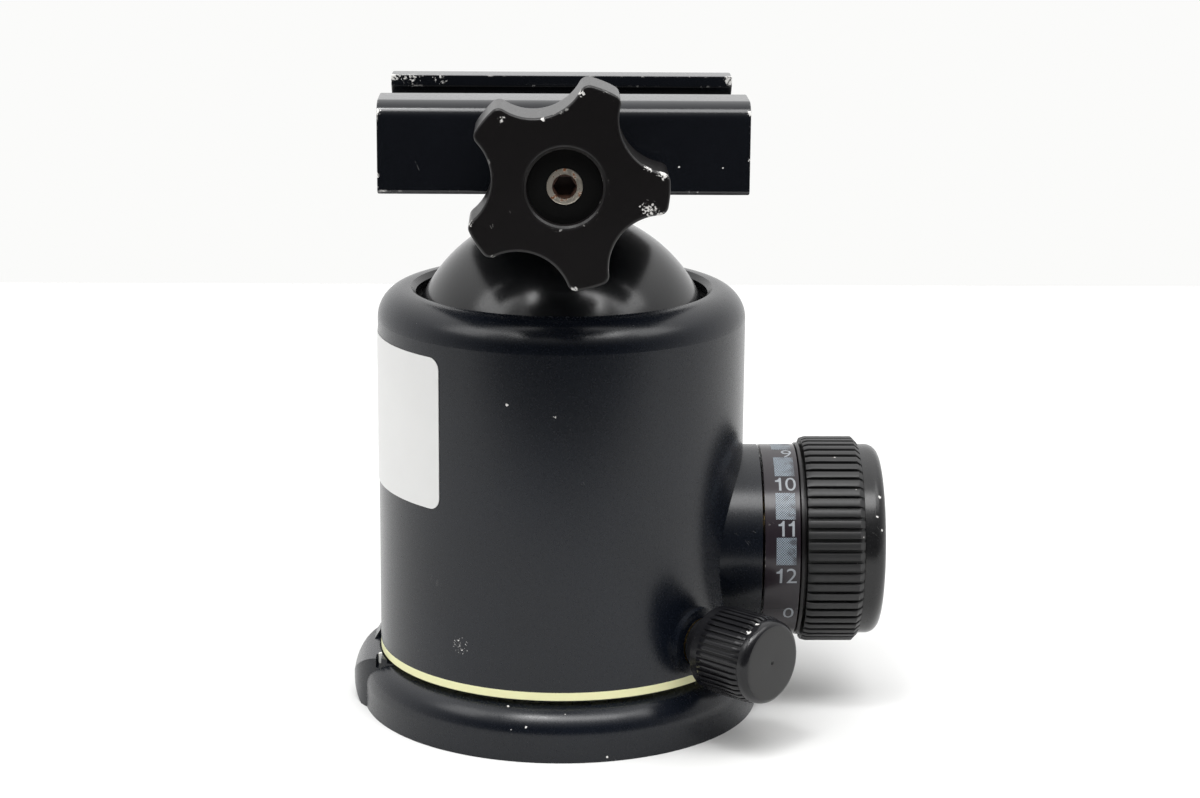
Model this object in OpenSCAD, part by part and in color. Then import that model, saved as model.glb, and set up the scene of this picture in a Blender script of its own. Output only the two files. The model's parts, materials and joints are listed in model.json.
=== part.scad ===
// Ball head for a tripod: a panning foot, a housing with a gripped ball, a graduated
// lock knob, a small panning lock and a screw clamp for dovetail plates.
// Millimetres, +Z up. The origin is the centre of the foot's underside. The lock knob
// points along +X, the clamp knob along -Y and the drop notch faces +Y.

/* [Foot] */
// How far the foot stands out past the housing
foot_proud = 3.1; // [2.6:0.1:4]
// Height of the foot
foot_h = 9.2; // [8.6:0.1:10]
// Radius of the rounding round the foot's upper edge
foot_round = 5; // [4:0.5:5.5]
// Depth of the hollow in the foot's underside
foot_hollow = 0.6; // [0.4:0.1:0.8]
// Width of the ring that the foot rests on
foot_land = 7; // [5:0.5:9]
// Radius of the thread's crests in the tripod insert, for a 3/8 inch screw
tripod_bore_r = 3.97; // [3.9:0.01:4.2]
// Outer radius of the tripod insert
insert_r = 7; // [6:0.5:8]
// Plan radius of the index nose on the foot
nose_r = 12; // [11:0.5:12.5]
// How far the index nose stands out past the foot
nose_proud = 1.8; // [1.4:0.1:2.2]
// Radius of the nose's bulging outer face
nose_bulge = 6; // [5.6:0.1:6.4]
// Gap between the fin behind the nose and the housing's lower edge
fin_under = 0.34; // [0.3:0.01:0.6]
// Width of the white index mark
mark_w = 0.6; // [0.4:0.1:0.8]
// Distance of the index mark from the middle of the nose
mark_y = 7; // [6:0.5:8]

/* [Panning bearing] */
// Slit between the foot and the pale ring
ring_slit = 0.84; // [0.7:0.02:1]
// Height of the pale ring
ring_h = 1.4; // [1.2:0.1:2]
// Thickness of the slide washer under the floor ring
slide_washer_h = 0.6; // [0.4:0.1:0.6]
// Thickness of the floor ring
floor_ring_h = 3.7; // [3:0.1:4]
// Width of the bearing between the hub's neck and the bore
bearing_w = 9.4; // [8.4:0.1:10.4]
// Thickness of the hub's flange
hub_flange_h = 6; // [5:0.5:6]
// Thickness of the thrust washer under the hub's flange
thrust_washer_h = 0.25; // [0.2:0.05:0.4]
// Diameter of the hub screws
hub_screw_d = 5; // [4:0.5:5]

/* [Ball and stem] */
// Diameter of the ball
ball_d = 54; // [53:0.5:55]
// Diameter of the stem
stem_d = 15; // [13:0.5:15.5]
// Distance from the ball's centre to the clamp's underside
stem_reach = 34.3; // [34.1:0.1:36]
// Diameter of the plate at the top of the stem
stem_plate_d = 24; // [20:1:26]
// Thickness of the plate at the top of the stem
stem_plate_h = 1.5; // [1.2:0.1:1.6]
// Thickness of the washer between stem and clamp
stem_washer_h = 0.4; // [0.2:0.1:0.5]
// Diameter of the bolt through the clamp into the stem
stem_bolt_d = 8; // [6:0.5:8]
// Length of the bolt's shank
stem_bolt_length = 24; // [18:1:30]

/* [Housing] */
// Wall of the housing beside the ball
housing_wall = 3.7; // [3.4:0.1:4.2]
// Room between the ball and the housing's bore
bore_room = 1.4; // [1.3:0.05:1.6]
// Step by which the lower bore is wider than the upper one
bore_step = 0.5; // [0.4:0.05:0.7]
// Height of the rim above the ball's centre
rim_rise = 13.6; // [13.2:0.1:13.8]
// Gap between the ball and the mouth
mouth_gap = 2.12; // [1.9:0.02:2.2]
// Rounding of the rim
rim_round = 5.3; // [4.5:0.1:6]
// Width of the bevel round the mouth's edge
mouth_bevel = 0.85; // [0.5:0.05:0.95]
// Height of the upper seat ring's lower edge above the ball's centre
seat_low = 3; // [2:0.5:5]
// Height of the upper seat ring's upper edge above the ball's centre
seat_high = 9.2; // [8.8:0.1:9.6]
// Height of the mouth seal
seal_h = 1.8; // [1.6:0.1:2]
// Room between the stem and the drop notch
notch_room = 0.6; // [0.4:0.1:1]
// Thickness of the paper label
label_t = 0.15; // [0.1:0.05:0.25]
// Width of the paper label round the housing
label_w = 46; // [30:1:50]
// Height of the paper label
label_h = 26.2; // [20:0.2:26.4]
// Height of the label's lower edge above the housing's lower edge
label_rise = 29.8; // [28:0.2:32]
// Angle from the lock knob to the label's nearer edge
label_start = 130; // [120:1:140]

/* [Grip on the ball] */
// Thickness of the friction liner
liner_t = 0.95; // [0.8:0.05:1]
// Half angle of the liner's cap
liner_angle = 40; // [35:1:44]
// Inner radius of the pressure cup
cup_hole_r = 12; // [11:0.5:14]
// Height of the cup's upper edge below the ball's centre
cup_drop = 11.5; // [10.5:0.5:14]
// Gap between the lock shaft and the underside of the ball
ball_over_shaft = 2.3; // [2.3:0.05:2.8]
// Thickness of the cup's underside below the wedge's top face
cup_over_wedge = 1; // [0.8:0.1:1.1]
// Radius of the lift pins
lift_pin_r = 2.5; // [2:0.25:2.75]
// Distance of the lift pins from the centre
lift_pin_y = 19; // [18.5:0.25:19.5]
// Depth of the lift pins in the cup
lift_pin_depth = 3.6; // [2.5:0.1:3.8]
// Slope of the wedge's ramps in degrees
ramp_angle = 18; // [14:1:20]
// Half length of the wedge
wedge_x = 9; // [8:0.5:10]
// Width of each guide rail beside the wedge
rail_w = 2.5; // [2:0.25:3]
// Height of the guide rails
rail_h = 3.4; // [2.5:0.1:4]
// Thickness of the mechanism plate
plate_h = 1.8; // [1.5:0.1:1.9]
// Thickness of the retaining clip
clip_h = 0.8; // [0.6:0.1:0.9]
// Depth of the retaining clip's groove
clip_groove = 0.7; // [0.5:0.1:0.8]
// Radius of the cup's guide pin
guide_pin_r = 1.5; // [1.25:0.25:1.75]

/* [Lock knob] */
// Height of the lock knob's axis above the housing's lower edge
lock_rise = 17.76; // [17.6:0.02:18.2]
// Radius of the boss on the housing
boss_r = 16.8; // [16:0.1:17.2]
// Length by which the boss stands out of the housing
boss_proud = 2.7; // [2.4:0.1:4]
// Outer radius of the bush in the boss
lock_bush_r = 7; // [6.25:0.25:7.25]
// Radius of the lock shaft
lock_shaft_r = 4; // [3.75:0.25:4.25]
// Radius of the threaded end of the lock shaft
lock_thread_r = 3; // [2.75:0.05:3]
// Slit between the boss and the graduated ring
dial_slit = 0.4; // [0.3:0.05:0.5]
// Radius of the graduated ring
dial_r = 16.8; // [16.4:0.1:17]
// Thickness of the graduated ring's wall
dial_wall = 2; // [1.5:0.1:2.4]
// Length of the graduated ring
dial_l = 6.15; // [5.6:0.05:6.6]
// Slit between the graduated ring and the thin flange
flange_slit = 0.2; // [0.1:0.05:0.3]
// Radius of the thin flange behind the grip
flange_r = 17.1; // [17:0.1:17.4]
// Length of the thin flange behind the grip
flange_l = 0.6; // [0.5:0.1:0.9]
// Gap between the thin flange and the grip
grip_gap = 0.45; // [0.3:0.05:0.6]
// Radius of the rubber grip
grip_r = 18.2; // [17.8:0.1:18.6]
// Thickness of the rubber grip
grip_wall = 2.9; // [2:0.1:3.4]
// Length of the rubber grip
grip_l = 9.9; // [9:0.1:12]
// Chamfer at the outer end of the rubber grip
grip_chamfer = 0.9; // [0.4:0.1:1.2]
// Radius of the end cap
cap_r = 16.85; // [16.4:0.05:17.2]
// Length of the end cap
cap_l = 3.8; // [3.4:0.1:5]
// Rounding of the end cap's edge
cap_round = 2.3; // [1:0.1:2.4]
// Radius of the cap's spigot in the knob
cap_spigot_r = 9; // [8:0.25:10]
// Radius of the preset spindle
preset_r = 2.4; // [2:0.1:2.6]
// Radius of the cross pin that keys the knob to the shaft
core_pin_r = 1; // [0.8:0.1:1.2]
// Thickness of a disc spring
disc_t = 0.5; // [0.4:0.05:0.6]
// Outer radius of the disc springs
disc_r = 8.4; // [7.5:0.1:8.6]

/* [Panning lock] */
// Direction of the panning lock, in degrees from the lock knob
pan_lock_az = -44; // [-50:1:-42]
// Height of its axis above the housing's lower edge
pan_lock_rise = 6; // [5.95:0.05:6.4]
// Radius of its boss on the housing
pan_boss_r = 5.9; // [5:0.1:5.9]
// Length by which its boss stands out of the housing
pan_boss_proud = 0.9; // [0.6:0.1:1.8]
// Radius of its threaded bush
pan_bush_r = 4.2; // [3.6:0.1:4.2]
// Radius of its stud
pan_stud_r = 2.5; // [2:0.1:2.6]
// Radius of its brake pad
pan_pad_r = 3; // [2.6:0.1:3]
// Radius of its knurled knob
pan_knob_r = 7.5; // [7:0.1:7.6]
// Length of the knurled band
pan_knurl_l = 8.9; // [8:0.1:10]
// Length of the plain collar behind the knurl
pan_collar_l = 1.7; // [1.2:0.1:2.2]
// Length of the neck behind the collar
pan_neck_l = 3.2; // [2.6:0.1:4]
// Length of the plain nose in front of the knurl
pan_nose_l = 1.9; // [1.4:0.1:2.4]
// Rounding of the nose's edge
pan_nose_round = 1.3; // [0.8:0.1:1.4]
// Radius of the knob's neck
pan_neck_r = 4.4; // [4:0.1:5]

/* [Clamp] */
// Length of the clamp's jaws
clamp_l = 60.6; // [56:0.2:70]
// Thickness of the clamp's floor
floor_t = 8; // [7.8:0.1:9]
// Depth of the dovetail channel
channel_h = 7.1; // [6.6:0.1:8]
// Half the distance between the jaws' lips
lip_y = 17.4; // [17:0.1:18]
// Undercut of the dovetail behind each lip
undercut = 2; // [1.6:0.1:2.2]
// Height of the undercut's upright foot
undercut_foot = 1.8; // [1.4:0.1:2]
// Distance from the centre to the moving jaw's outer face
jaw_front = 28.6; // [28.4:0.1:30]
// Distance from the centre to the fixed jaw's outer face
jaw_rear = 26; // [25:0.1:28]
// How much lower the fixed jaw is than the moving one
rear_drop = 1.4; // [0.4:0.1:1.6]
// Rounding along the jaws' upper outer edges
jaw_round = 3; // [2:0.1:3.4]
// Thickness of the moving jaw below the channel
jaw_t = 8.6; // [8.4:0.1:9]
// Room in which the moving jaw can close
close_room = 1.1; // [1.1:0.05:1.3]
// Chamfer along the clamp's lower edges
clamp_chamfer = 0.5; // [0.3:0.1:0.8]
// Height of the clamp screw above the clamp's underside
screw_rise = 3.9; // [3.85:0.01:3.95]
// Radius of the clamp screw
screw_r = 2.86; // [2.6:0.02:2.9]
// Corner radius of the hexagon socket in the clamp screw's end
hex_r = 1.85; // [1.5:0.05:2.1]
// Radius of the barrel nut
nut_r = 4.6; // [4.2:0.1:4.7]
// Distance of the barrel nut from the centre
nut_y = 12.2; // [12.1:0.1:12.6]
// Distance of the guide pins from the centre
pin_x = 21; // [19:0.5:24]
// Radius of the guide pins
pin_r = 2; // [1.6:0.1:2.2]
// Radius of the stem bolt's head
bolt_head_r = 6.4; // [5.5:0.1:6.5]
// Height of the stem bolt's head
bolt_head_h = 3; // [2.6:0.1:3.4]

/* [Clamp knob] */
// Reach of the knob's lobes
lobe_r = 16.6; // [15.8:0.1:17]
// Radius of the bottom of the hollows between the lobes
hollow_r = 11.6; // [11.2:0.1:12.2]
// Width of a lobe's blunt end before its corners are rounded
lobe_w = 6.6; // [6:0.1:7.4]
// Rounding of the lobes' corners
lobe_round = 1.5; // [1:0.1:1.8]
// Number of lobes
lobes = 5; // [5:1:6]
// Turn of the lobed knob at rest
knob_turn = -3.5; // [-10:0.5:10]
// Thickness of the lobed knob
knob_t = 12; // [10:0.5:13]
// Length of the knob's neck behind the lobes
knob_neck_l = 4.4; // [3.6:0.1:5]
// Radius of the knob's neck
knob_neck_r = 7.5; // [7:0.1:8.5]
// Radius of the recess in the knob's face
recess_r = 6; // [5.6:0.1:6.4]
// Depth of the recess in the knob's face
recess_h = 3; // [2.4:0.1:4]
// Width of the bevel round the recess
recess_bevel = 0.5; // [0.3:0.1:0.8]

/* [Hidden] */
$fn = 96;
black = [0.10, 0.11, 0.13];
gloss = [0.05, 0.05, 0.06];
steel = [0.60, 0.60, 0.58];
brass = [0.72, 0.58, 0.30];
polymer = [0.85, 0.84, 0.80];
pale_green = [0.85, 0.85, 0.60];
paper = [0.93, 0.93, 0.92];
plum = [0.16, 0.13, 0.15];
rubber_grey = [0.13, 0.13, 0.13];

// Radial clearance of a shaft in its bore, and the usual gap between bodies
fit = 0.05;
gap = 0.3;
past = 1;

// Heights from the foot upwards
ring_z = foot_h + ring_slit;
housing_z = ring_z + ring_h;
floor_ring_z = foot_h + slide_washer_h + fit;
floor_ring_top = floor_ring_z + floor_ring_h;
hub_flange_z = floor_ring_top + fit + thrust_washer_h;
hub_top = hub_flange_z + hub_flange_h;
lock_z = housing_z + lock_rise;
ball_r = ball_d / 2;
ball_z = lock_z + lock_thread_r + ball_over_shaft + ball_r;
liner_out = ball_r + fit + liner_t;
wedge_top = ball_z - liner_out - gap;
cup_z = wedge_top + cup_over_wedge;
cup_top = ball_z - cup_drop;
guide_pin_az = 135;
guide_pin_drop = 6;
guide_pin_z = cup_top - guide_pin_drop;
guide_pin_end = 0.7;
guide_pin_in = 1;
key_deep = 4;
clip_drop = 8.2;
clip_z = lock_z - clip_drop;
clip_gap = 6;
plate_z = clip_z + clip_h;
wedge_z = plate_z + plate_h + fit;
ramp_drop = 1.7;
ramp_z = wedge_top - ramp_drop;
ramp_edge = 0.5;
wing_edge = 1;
wing_y = lift_pin_y + lift_pin_r + wing_edge;
seat_z = ball_z + seat_low;
seat_top = ball_z + seat_high;
clamp_z = ball_z + stem_reach;
floor_z = clamp_z + floor_t;
jaw_top = floor_z + channel_h;
screw_z = clamp_z + screw_rise;
pan_lock_z = housing_z + pan_lock_rise;

// Radii from the ball outwards
bore_r = ball_r + bore_room;
low_bore_r = bore_r + bore_step;
housing_r = bore_r + housing_wall;
foot_r = housing_r + foot_proud;
nose_bulge_z = 3.9;
mark_x = sqrt(pow(housing_r + gap, 2) - pow(mark_y, 2));
mouth_r = ball_radius_at(rim_rise) + mouth_gap;
housing_top = ball_z + rim_rise;
seal_w = 0.75;
seal_r = mouth_r + seal_w;
hub_neck_r = bore_r - bearing_w;
hub_flange_room = 3.9;
hub_flange_r = bore_r - hub_flange_room;
hub_screw_ring = (insert_r + hub_neck_r) / 2;
stem_r = stem_d / 2;
notch_r = stem_r + notch_room;
clamp_slit = 0.1;
stem_plate_z = clamp_z - clamp_slit - stem_washer_h - stem_plate_h;
bolt_r = stem_bolt_d / 2;
bolt_sink = 0.4;
bolt_z = floor_z - bolt_head_h - bolt_sink;
bolt_socket_h = 2;

// Places along the lock knob's axis
boss_x = housing_r + boss_proud;
dial_x = boss_x + dial_slit;
dial_in = dial_r - dial_wall;
flange_x = dial_x + dial_l + flange_slit;
grip_x = flange_x + flange_l + grip_gap;
grip_end = grip_x + grip_l;
cap_slit = 0.1;
cap_x = grip_end + cap_slit;
cap_end = cap_x + cap_l;
core_r = grip_r - grip_wall;
knob_thrust_h = 0.9;
washer_x = boss_x + fit;
spring_x = washer_x + knob_thrust_h;
disc_rise = 0.7;
core_x = spring_x + 2 * (disc_t + disc_rise + fit);
spigot_l = 5.2;
spigot_x = cap_x - spigot_l;
spindle_deep = 3.6;
spindle_room = 0.4;
spindle_x = core_x + spindle_deep + spindle_room;
spindle_end = cap_x - 1;
lock_bush_x = low_bore_r + gap;
shaft_clip_h = 0.9;
shaft_clip_x = lock_bush_x - fit - shaft_clip_h;
pin_hole_deep = 1.8;
pin_hole_x = core_x + pin_hole_deep;
core_pin_sink = 0.4;

// Places along the panning lock's axis
pan_boss_x = housing_r + pan_boss_proud;
pan_neck_slit = 0.4;
pan_neck_x = pan_boss_x + pan_neck_slit;
pan_collar_x = pan_neck_x + pan_neck_l;
pan_knurl_x = pan_collar_x + pan_collar_l;
pan_nose_x = pan_knurl_x + pan_knurl_l;
pan_end = pan_nose_x + pan_nose_l;
pan_pad_x = hub_flange_r + fit;
pan_pad_h = 2.4;
pan_pad_end = pan_pad_x + pan_pad_h;

// Places along the clamp screw's axis, measured towards -Y
jaw_inner = jaw_front - jaw_t;
base_front = jaw_inner - close_room;
knob_washer_h = 0.5;
knob_back = jaw_front + knob_washer_h + knob_neck_l;
knob_face = knob_back + knob_t;
screw_in = 3.9;
screw_start = nut_y - screw_in;
screw_out = 1.4;
screw_end = knob_face - recess_h + screw_out;
screw_room = 0.2;
nut_cover = 0.6;
guide_pin_l = 9;
guide_pin_sink = 2;

// The circles that cut the hollows between the knob's lobes, and the circles in the corners
lobe_step = 360 / lobes;
hollow_turn = lobe_step / 2 - asin(lobe_w / 2 / lobe_r);
scallop_y = (pow(lobe_r, 2) - pow(hollow_r, 2)) / 2 / (lobe_r * cos(hollow_turn) - hollow_r);
scallop_r = scallop_y - hollow_r;
corner_y = lobe_r - lobe_round;
corner_turn = acos((pow(corner_y, 2) + pow(scallop_y, 2) - pow(scallop_r + lobe_round, 2))
                   / 2 / corner_y / scallop_y);
corner_reach = 2.5 * lobe_round;

// ---- helpers ----

// A ring about +Z from height z up
module ring(inner, outer, z, h) {
  translate([0, 0, z]) difference() {
    cylinder(r = outer, h = h);
    translate([0, 0, -past]) cylinder(r = inner, h = h + 2 * past);
  }
}

// Radius of the ball's surface at a height above its centre
function ball_radius_at(z) = sqrt(pow(ball_r, 2) - pow(z, 2));

// A round bar about +Z between two heights
module bar(r, low, high) {
  translate([0, 0, low]) cylinder(r = r, h = high - low);
}

// What is cut from a square corner at (x, y) to round it
module corner_cut(x, y, r) {
  translate([x - r, y - r]) difference() {
    square(r + past);
    circle(r = r);
  }
}

// Frames in which +Z runs outwards along the lock knob, the panning lock or the clamp screw;
// the last can be moved sideways by x
module lock_frame() translate([0, 0, lock_z]) rotate([0, 90, 0]) children();

module pan_lock_frame()
  translate([0, 0, pan_lock_z]) rotate([0, 0, pan_lock_az]) rotate([0, 90, 0]) children();

module clamp_frame(x = 0) translate([x, 0, screw_z]) rotate([90, 0, 0]) children();

// ---- foot ----

// The nose bulges out at the foot's left; its rear end rises in a low fin
module nose_solid() {
  fin_top = housing_z - fin_under;
  fin_side = housing_r + gap;
  intersection() {
    translate([nose_r - foot_r - nose_proud, 0, 0]) bar(nose_r, 0, housing_z);
    union() {
      translate([nose_bulge - foot_r - nose_proud, nose_r, nose_bulge_z]) rotate([90, 0, 0])
        cylinder(r = nose_bulge, h = 2 * nose_r);
      translate([0, nose_r * 0.6, 0]) rotate([90, 0, 0]) linear_extrude(nose_r * 0.4) polygon([
        [-fin_side - 2.2, foot_h - 1.2], [-fin_side - 1.2, foot_h], [-fin_side - 0.1, fin_top],
        [-fin_side + 1, fin_top], [-fin_side + 1, foot_h - 1.2]
      ]);
    }
  }
}

// The mark stands at the end of a short slot in the nose
module mark_slot(width, low, high) {
  translate([-mark_x - width, low, foot_h - 1.2]) cube([width, high - low, 4 * past]);
}

module mark_bar() mark_slot(mark_w, -mark_y, mark_w - mark_y);

module hub_screw_places() {
  for (turn = [0 : 120 : 240]) rotate([0, 0, turn + 30]) translate([hub_screw_ring, 0, 0]) children();
}

module hub_screw_shape(grow) {
  head_r = hub_screw_d * 0.95 + grow;
  shank_r = hub_screw_d / 2 + grow;
  translate([0, 0, foot_hollow]) cylinder(r1 = head_r, r2 = shank_r, h = head_r - shank_r);
  bar(shank_r, foot_hollow, hub_flange_z + grow);
}

module foot_disc() {
  rotate_extrude() difference() {
    square([foot_r, foot_h]);
    corner_cut(foot_r, foot_h, foot_round);
  }
}

module base_foot() {
  color(black) difference() {
    union() {
      foot_disc();
      nose_solid();
    }
    bar(insert_r, -past, foot_h + past);
    bar(foot_r - foot_land, -past, foot_hollow);
    bar(housing_r + gap, foot_h, housing_z + past);
    hub_screw_places() hub_screw_shape(fit);
    mark_bar();
    mark_slot(mark_w + 0.4, -nose_r, -mark_y);
  }
}

module index_mark() {
  color("white") difference() {
    intersection() {
      nose_solid();
      mark_bar();
    }
    bar(housing_r + gap, foot_h, housing_z + past);
  }
}

module tripod_insert() {
  color(steel) ring(tripod_bore_r, insert_r, 0, foot_h);
}

module pan_hub() {
  color(steel) difference() {
    union() {
      bar(hub_neck_r, foot_h, hub_flange_z);
      bar(hub_flange_r, hub_flange_z, hub_top);
    }
    bar(tripod_bore_r + gap, foot_h - past, hub_flange_z + past);
    hub_screw_places() hub_screw_shape(fit);
  }
}

module hub_screws() {
  color(steel) hub_screw_places() difference() {
    hub_screw_shape(0);
    bar(hub_screw_d * 0.3, 0, foot_hollow + hub_screw_d * 0.4);
  }
}

module slide_washer() {
  color(polymer) ring(hub_neck_r + fit, bore_r, foot_h, slide_washer_h);
}

module hub_thrust_washer() {
  color(brass) ring(hub_neck_r, hub_flange_r, hub_flange_z - thrust_washer_h, thrust_washer_h);
}

// ---- housing ----

module housing_skin() {
  rotate_extrude() difference() {
    translate([0, housing_z]) square([housing_r, housing_top - housing_z]);
    corner_cut(housing_r, housing_top, rim_round);
  }
}

// The two bosses start in the bore, which is cut afterwards
module housing_bosses() {
  lock_frame() bar(boss_r, bore_r / 2, boss_x);
  pan_lock_frame() bar(pan_boss_r, bore_r / 2, pan_boss_x);
}

module housing_bores() {
  bar(low_bore_r, housing_z - past, wedge_z - fit);
  ring(bore_r, low_bore_r + clip_groove, clip_z, clip_h);
  bar(bore_r, plate_z, seat_top);
  bar(seal_r, seat_top, seat_top + seal_h);
  bar(mouth_r, seat_top, housing_top + past);
  translate([0, 0, housing_top - mouth_bevel])
    cylinder(r1 = mouth_r, r2 = mouth_r + mouth_bevel + past, h = mouth_bevel + past);
}

module drop_notch() {
  translate([0, housing_r + past, ball_z]) rotate([90, 0, 0]) {
    cylinder(r = notch_r, h = housing_r);
    translate([-notch_r, 0, 0]) cube([2 * notch_r, housing_r, housing_r]);
  }
}

module housing() {
  color(black) difference() {
    union() {
      housing_skin();
      housing_bosses();
    }
    housing_bores();
    drop_notch();
    lock_frame() bar(lock_bush_r, 0, boss_x + past);
    pan_lock_frame() bar(pan_bush_r, 0, pan_boss_x + past);
    guide_pin_bar(0);
  }
}

module pan_ring() {
  color(pale_green) ring(low_bore_r, housing_r, ring_z, ring_h);
}

module floor_ring() {
  color(steel) ring(hub_neck_r + fit, low_bore_r, floor_ring_z, floor_ring_h);
}

module upper_seat_ring() {
  color(polymer) difference() {
    bar(bore_r, seat_z, seat_top);
    translate([0, 0, ball_z]) sphere(r = ball_r + fit);
    drop_notch();
  }
}

module mouth_seal() {
  low = seat_high;
  high = seat_high + seal_h - fit;
  color(rubber_grey) difference() {
    translate([0, 0, ball_z]) rotate_extrude() polygon([
      [ball_radius_at(low) + gap, low], [seal_r, low], [seal_r, high], [ball_radius_at(high) + gap, high]
    ]);
    drop_notch();
  }
}

module lock_bush() {
  color(brass) lock_frame() difference() {
    bar(lock_bush_r, lock_bush_x, boss_x);
    bar(lock_shaft_r + fit, 0, boss_x + past);
  }
}

module mechanism_plate() {
  rail_y = wing_y + 2 * fit;
  color(steel) {
    bar(low_bore_r, plate_z, plate_z + plate_h);
    for (side = [-1, 1]) translate([-wedge_x, side * (rail_y + rail_w / 2) - rail_w / 2, plate_z + plate_h])
      cube([2 * wedge_x, rail_w, rail_h]);
  }
}

module retaining_clip() {
  color(steel) difference() {
    ring(bore_r - 2, low_bore_r + clip_groove, clip_z, clip_h);
    translate([-clip_gap / 2, -housing_r, clip_z - past])
      cube([clip_gap, housing_r / 2, clip_h + 2 * past]);
  }
}

module guide_pin_bar(from)
  rotate([0, 0, guide_pin_az]) translate([0, 0, guide_pin_z]) rotate([0, 90, 0])
    bar(guide_pin_r, from, housing_r - guide_pin_end);

module cup_guide_pin() {
  color(steel) guide_pin_bar(bore_r - guide_pin_in);
}

module pan_lock_bush() {
  color(brass) pan_lock_frame() difference() {
    bar(pan_bush_r, low_bore_r + clip_groove + fit, pan_boss_x);
    bar(pan_stud_r + fit, 0, pan_boss_x + past);
  }
}

module paper_label() {
  arc = label_w / housing_r * 180 / PI;
  color(paper) rotate([0, 0, -label_start - arc]) translate([0, 0, housing_z + label_rise])
    rotate_extrude(angle = arc) translate([housing_r, 0]) square([label_t, label_h]);
}

// ---- lock knob ----

module lock_shaft() {
  color(steel) lock_frame() difference() {
    union() {
      bar(lock_thread_r, -wedge_x - past, shaft_clip_x + shaft_clip_h);
      bar(lock_shaft_r, shaft_clip_x + shaft_clip_h, spigot_x - fit);
    }
    bar(preset_r + fit, spindle_x - spindle_room, cap_end);
    core_pin_bar();
  }
}

module shaft_clip() {
  color(steel) lock_frame() ring(lock_thread_r, lock_shaft_r + 0.5, shaft_clip_x, shaft_clip_h);
}

module knob_core() {
  color(black) lock_frame() difference() {
    union() {
      bar(dial_in, dial_x, flange_x);
      bar(flange_r, flange_x, flange_x + flange_l);
      bar(core_r, flange_x, grip_end);
    }
    bar(disc_r + gap, 0, core_x);
    bar(lock_shaft_r, 0, cap_x);
    bar(cap_spigot_r + fit, spigot_x - fit, cap_x);
    core_pin_bar();
  }
}

// A cross pin keys the knob to the shaft
module core_pin_bar()
  translate([0, 0, pin_hole_x]) rotate([90, 0, 0])
    bar(core_pin_r, core_pin_sink - dial_in, dial_in - core_pin_sink);

module core_pin() {
  color(steel) lock_frame() core_pin_bar();
}

module scale_ring() {
  color(plum) lock_frame() ring(dial_in, dial_r, dial_x, dial_l);
}

module rubber_grip() {
  color(rubber_grey) lock_frame() rotate_extrude() polygon([
    [core_r, grip_x], [grip_r, grip_x], [grip_r, grip_end - grip_chamfer],
    [grip_r - grip_chamfer, grip_end], [core_r, grip_end]
  ]);
}

module disc_springs() {
  inner = lock_shaft_r + gap;
  color(steel) lock_frame() translate([0, 0, spring_x]) rotate_extrude() {
    polygon([[inner, 0], [disc_r, disc_rise], [disc_r, disc_rise + disc_t], [inner, disc_t]]);
    translate([0, disc_rise + disc_t + fit]) polygon([
      [disc_r, 0], [disc_r, disc_t], [inner, disc_rise + disc_t], [inner, disc_rise]
    ]);
  }
}

module knob_thrust_washer() {
  color(brass) lock_frame() ring(lock_shaft_r + fit, disc_r, washer_x, knob_thrust_h);
}

module end_cap() {
  color(gloss) lock_frame() difference() {
    union() {
      rotate_extrude() difference() {
        translate([0, cap_x]) square([cap_r, cap_l]);
        corner_cut(cap_r, cap_end, cap_round);
      }
      bar(cap_spigot_r, spigot_x, cap_x);
    }
    bar(preset_r, spigot_x - past, spindle_end);
  }
}

module preset_spindle() {
  color(steel) lock_frame() bar(preset_r, spindle_x, spindle_end);
}

// ---- grip on the ball ----

// The ramps fall towards +X; the lift pins stand on them
module ramp_profile(shift) {
  low = -lift_pin_r - 2;
  high = lift_pin_r + 3;
  drop = tan(ramp_angle);
  polygon([
    [low, ramp_z + shift - low * drop], [high, ramp_z + shift - high * drop],
    [high, cup_top], [low, cup_top]
  ]);
}

// Stands the ramp profile up across one ramp
module ramp_block(width, shift)
  translate([0, width / 2, 0]) rotate([90, 0, 0]) linear_extrude(width) ramp_profile(shift);

module wedge_nut() {
  ramp_w = 2 * (lift_pin_r + ramp_edge);
  color(brass) difference() {
    translate([-wedge_x, -wing_y, wedge_z]) cube([2 * wedge_x, 2 * wing_y, wedge_top - wedge_z]);
    lock_frame() bar(lock_thread_r + fit, -2 * wedge_x, 2 * wedge_x);
    for (side = [-1, 1]) translate([0, side * lift_pin_y, 0]) ramp_block(ramp_w, 0);
  }
}

module pressure_cup() {
  color(steel) difference() {
    ring(cup_hole_r, bore_r - fit, cup_z, cup_top - cup_z);
    translate([0, 0, ball_z]) sphere(r = liner_out + fit);
    for (side = [-1, 1]) translate([0, side * lift_pin_y, 0])
      bar(lift_pin_r, cup_z - past, cup_z + lift_pin_depth);
    rotate([0, 0, guide_pin_az])
      translate([bore_r - guide_pin_in - gap, -guide_pin_r - fit, guide_pin_z - key_deep])
      cube([key_deep, 2 * (guide_pin_r + fit), cup_top]);
  }
}

module lift_pins() {
  color(steel) for (side = [-1, 1]) translate([0, side * lift_pin_y, 0]) intersection() {
    bar(lift_pin_r, wedge_z, cup_z + lift_pin_depth);
    ramp_block(2 * lift_pin_r + past, fit);
  }
}

module friction_liner() {
  color(polymer) translate([0, 0, ball_z]) intersection() {
    difference() {
      sphere(r = liner_out);
      sphere(r = ball_r + fit);
    }
    translate([0, 0, -ball_d]) cylinder(r = ball_d, h = ball_d - liner_out * cos(liner_angle));
  }
}

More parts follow.
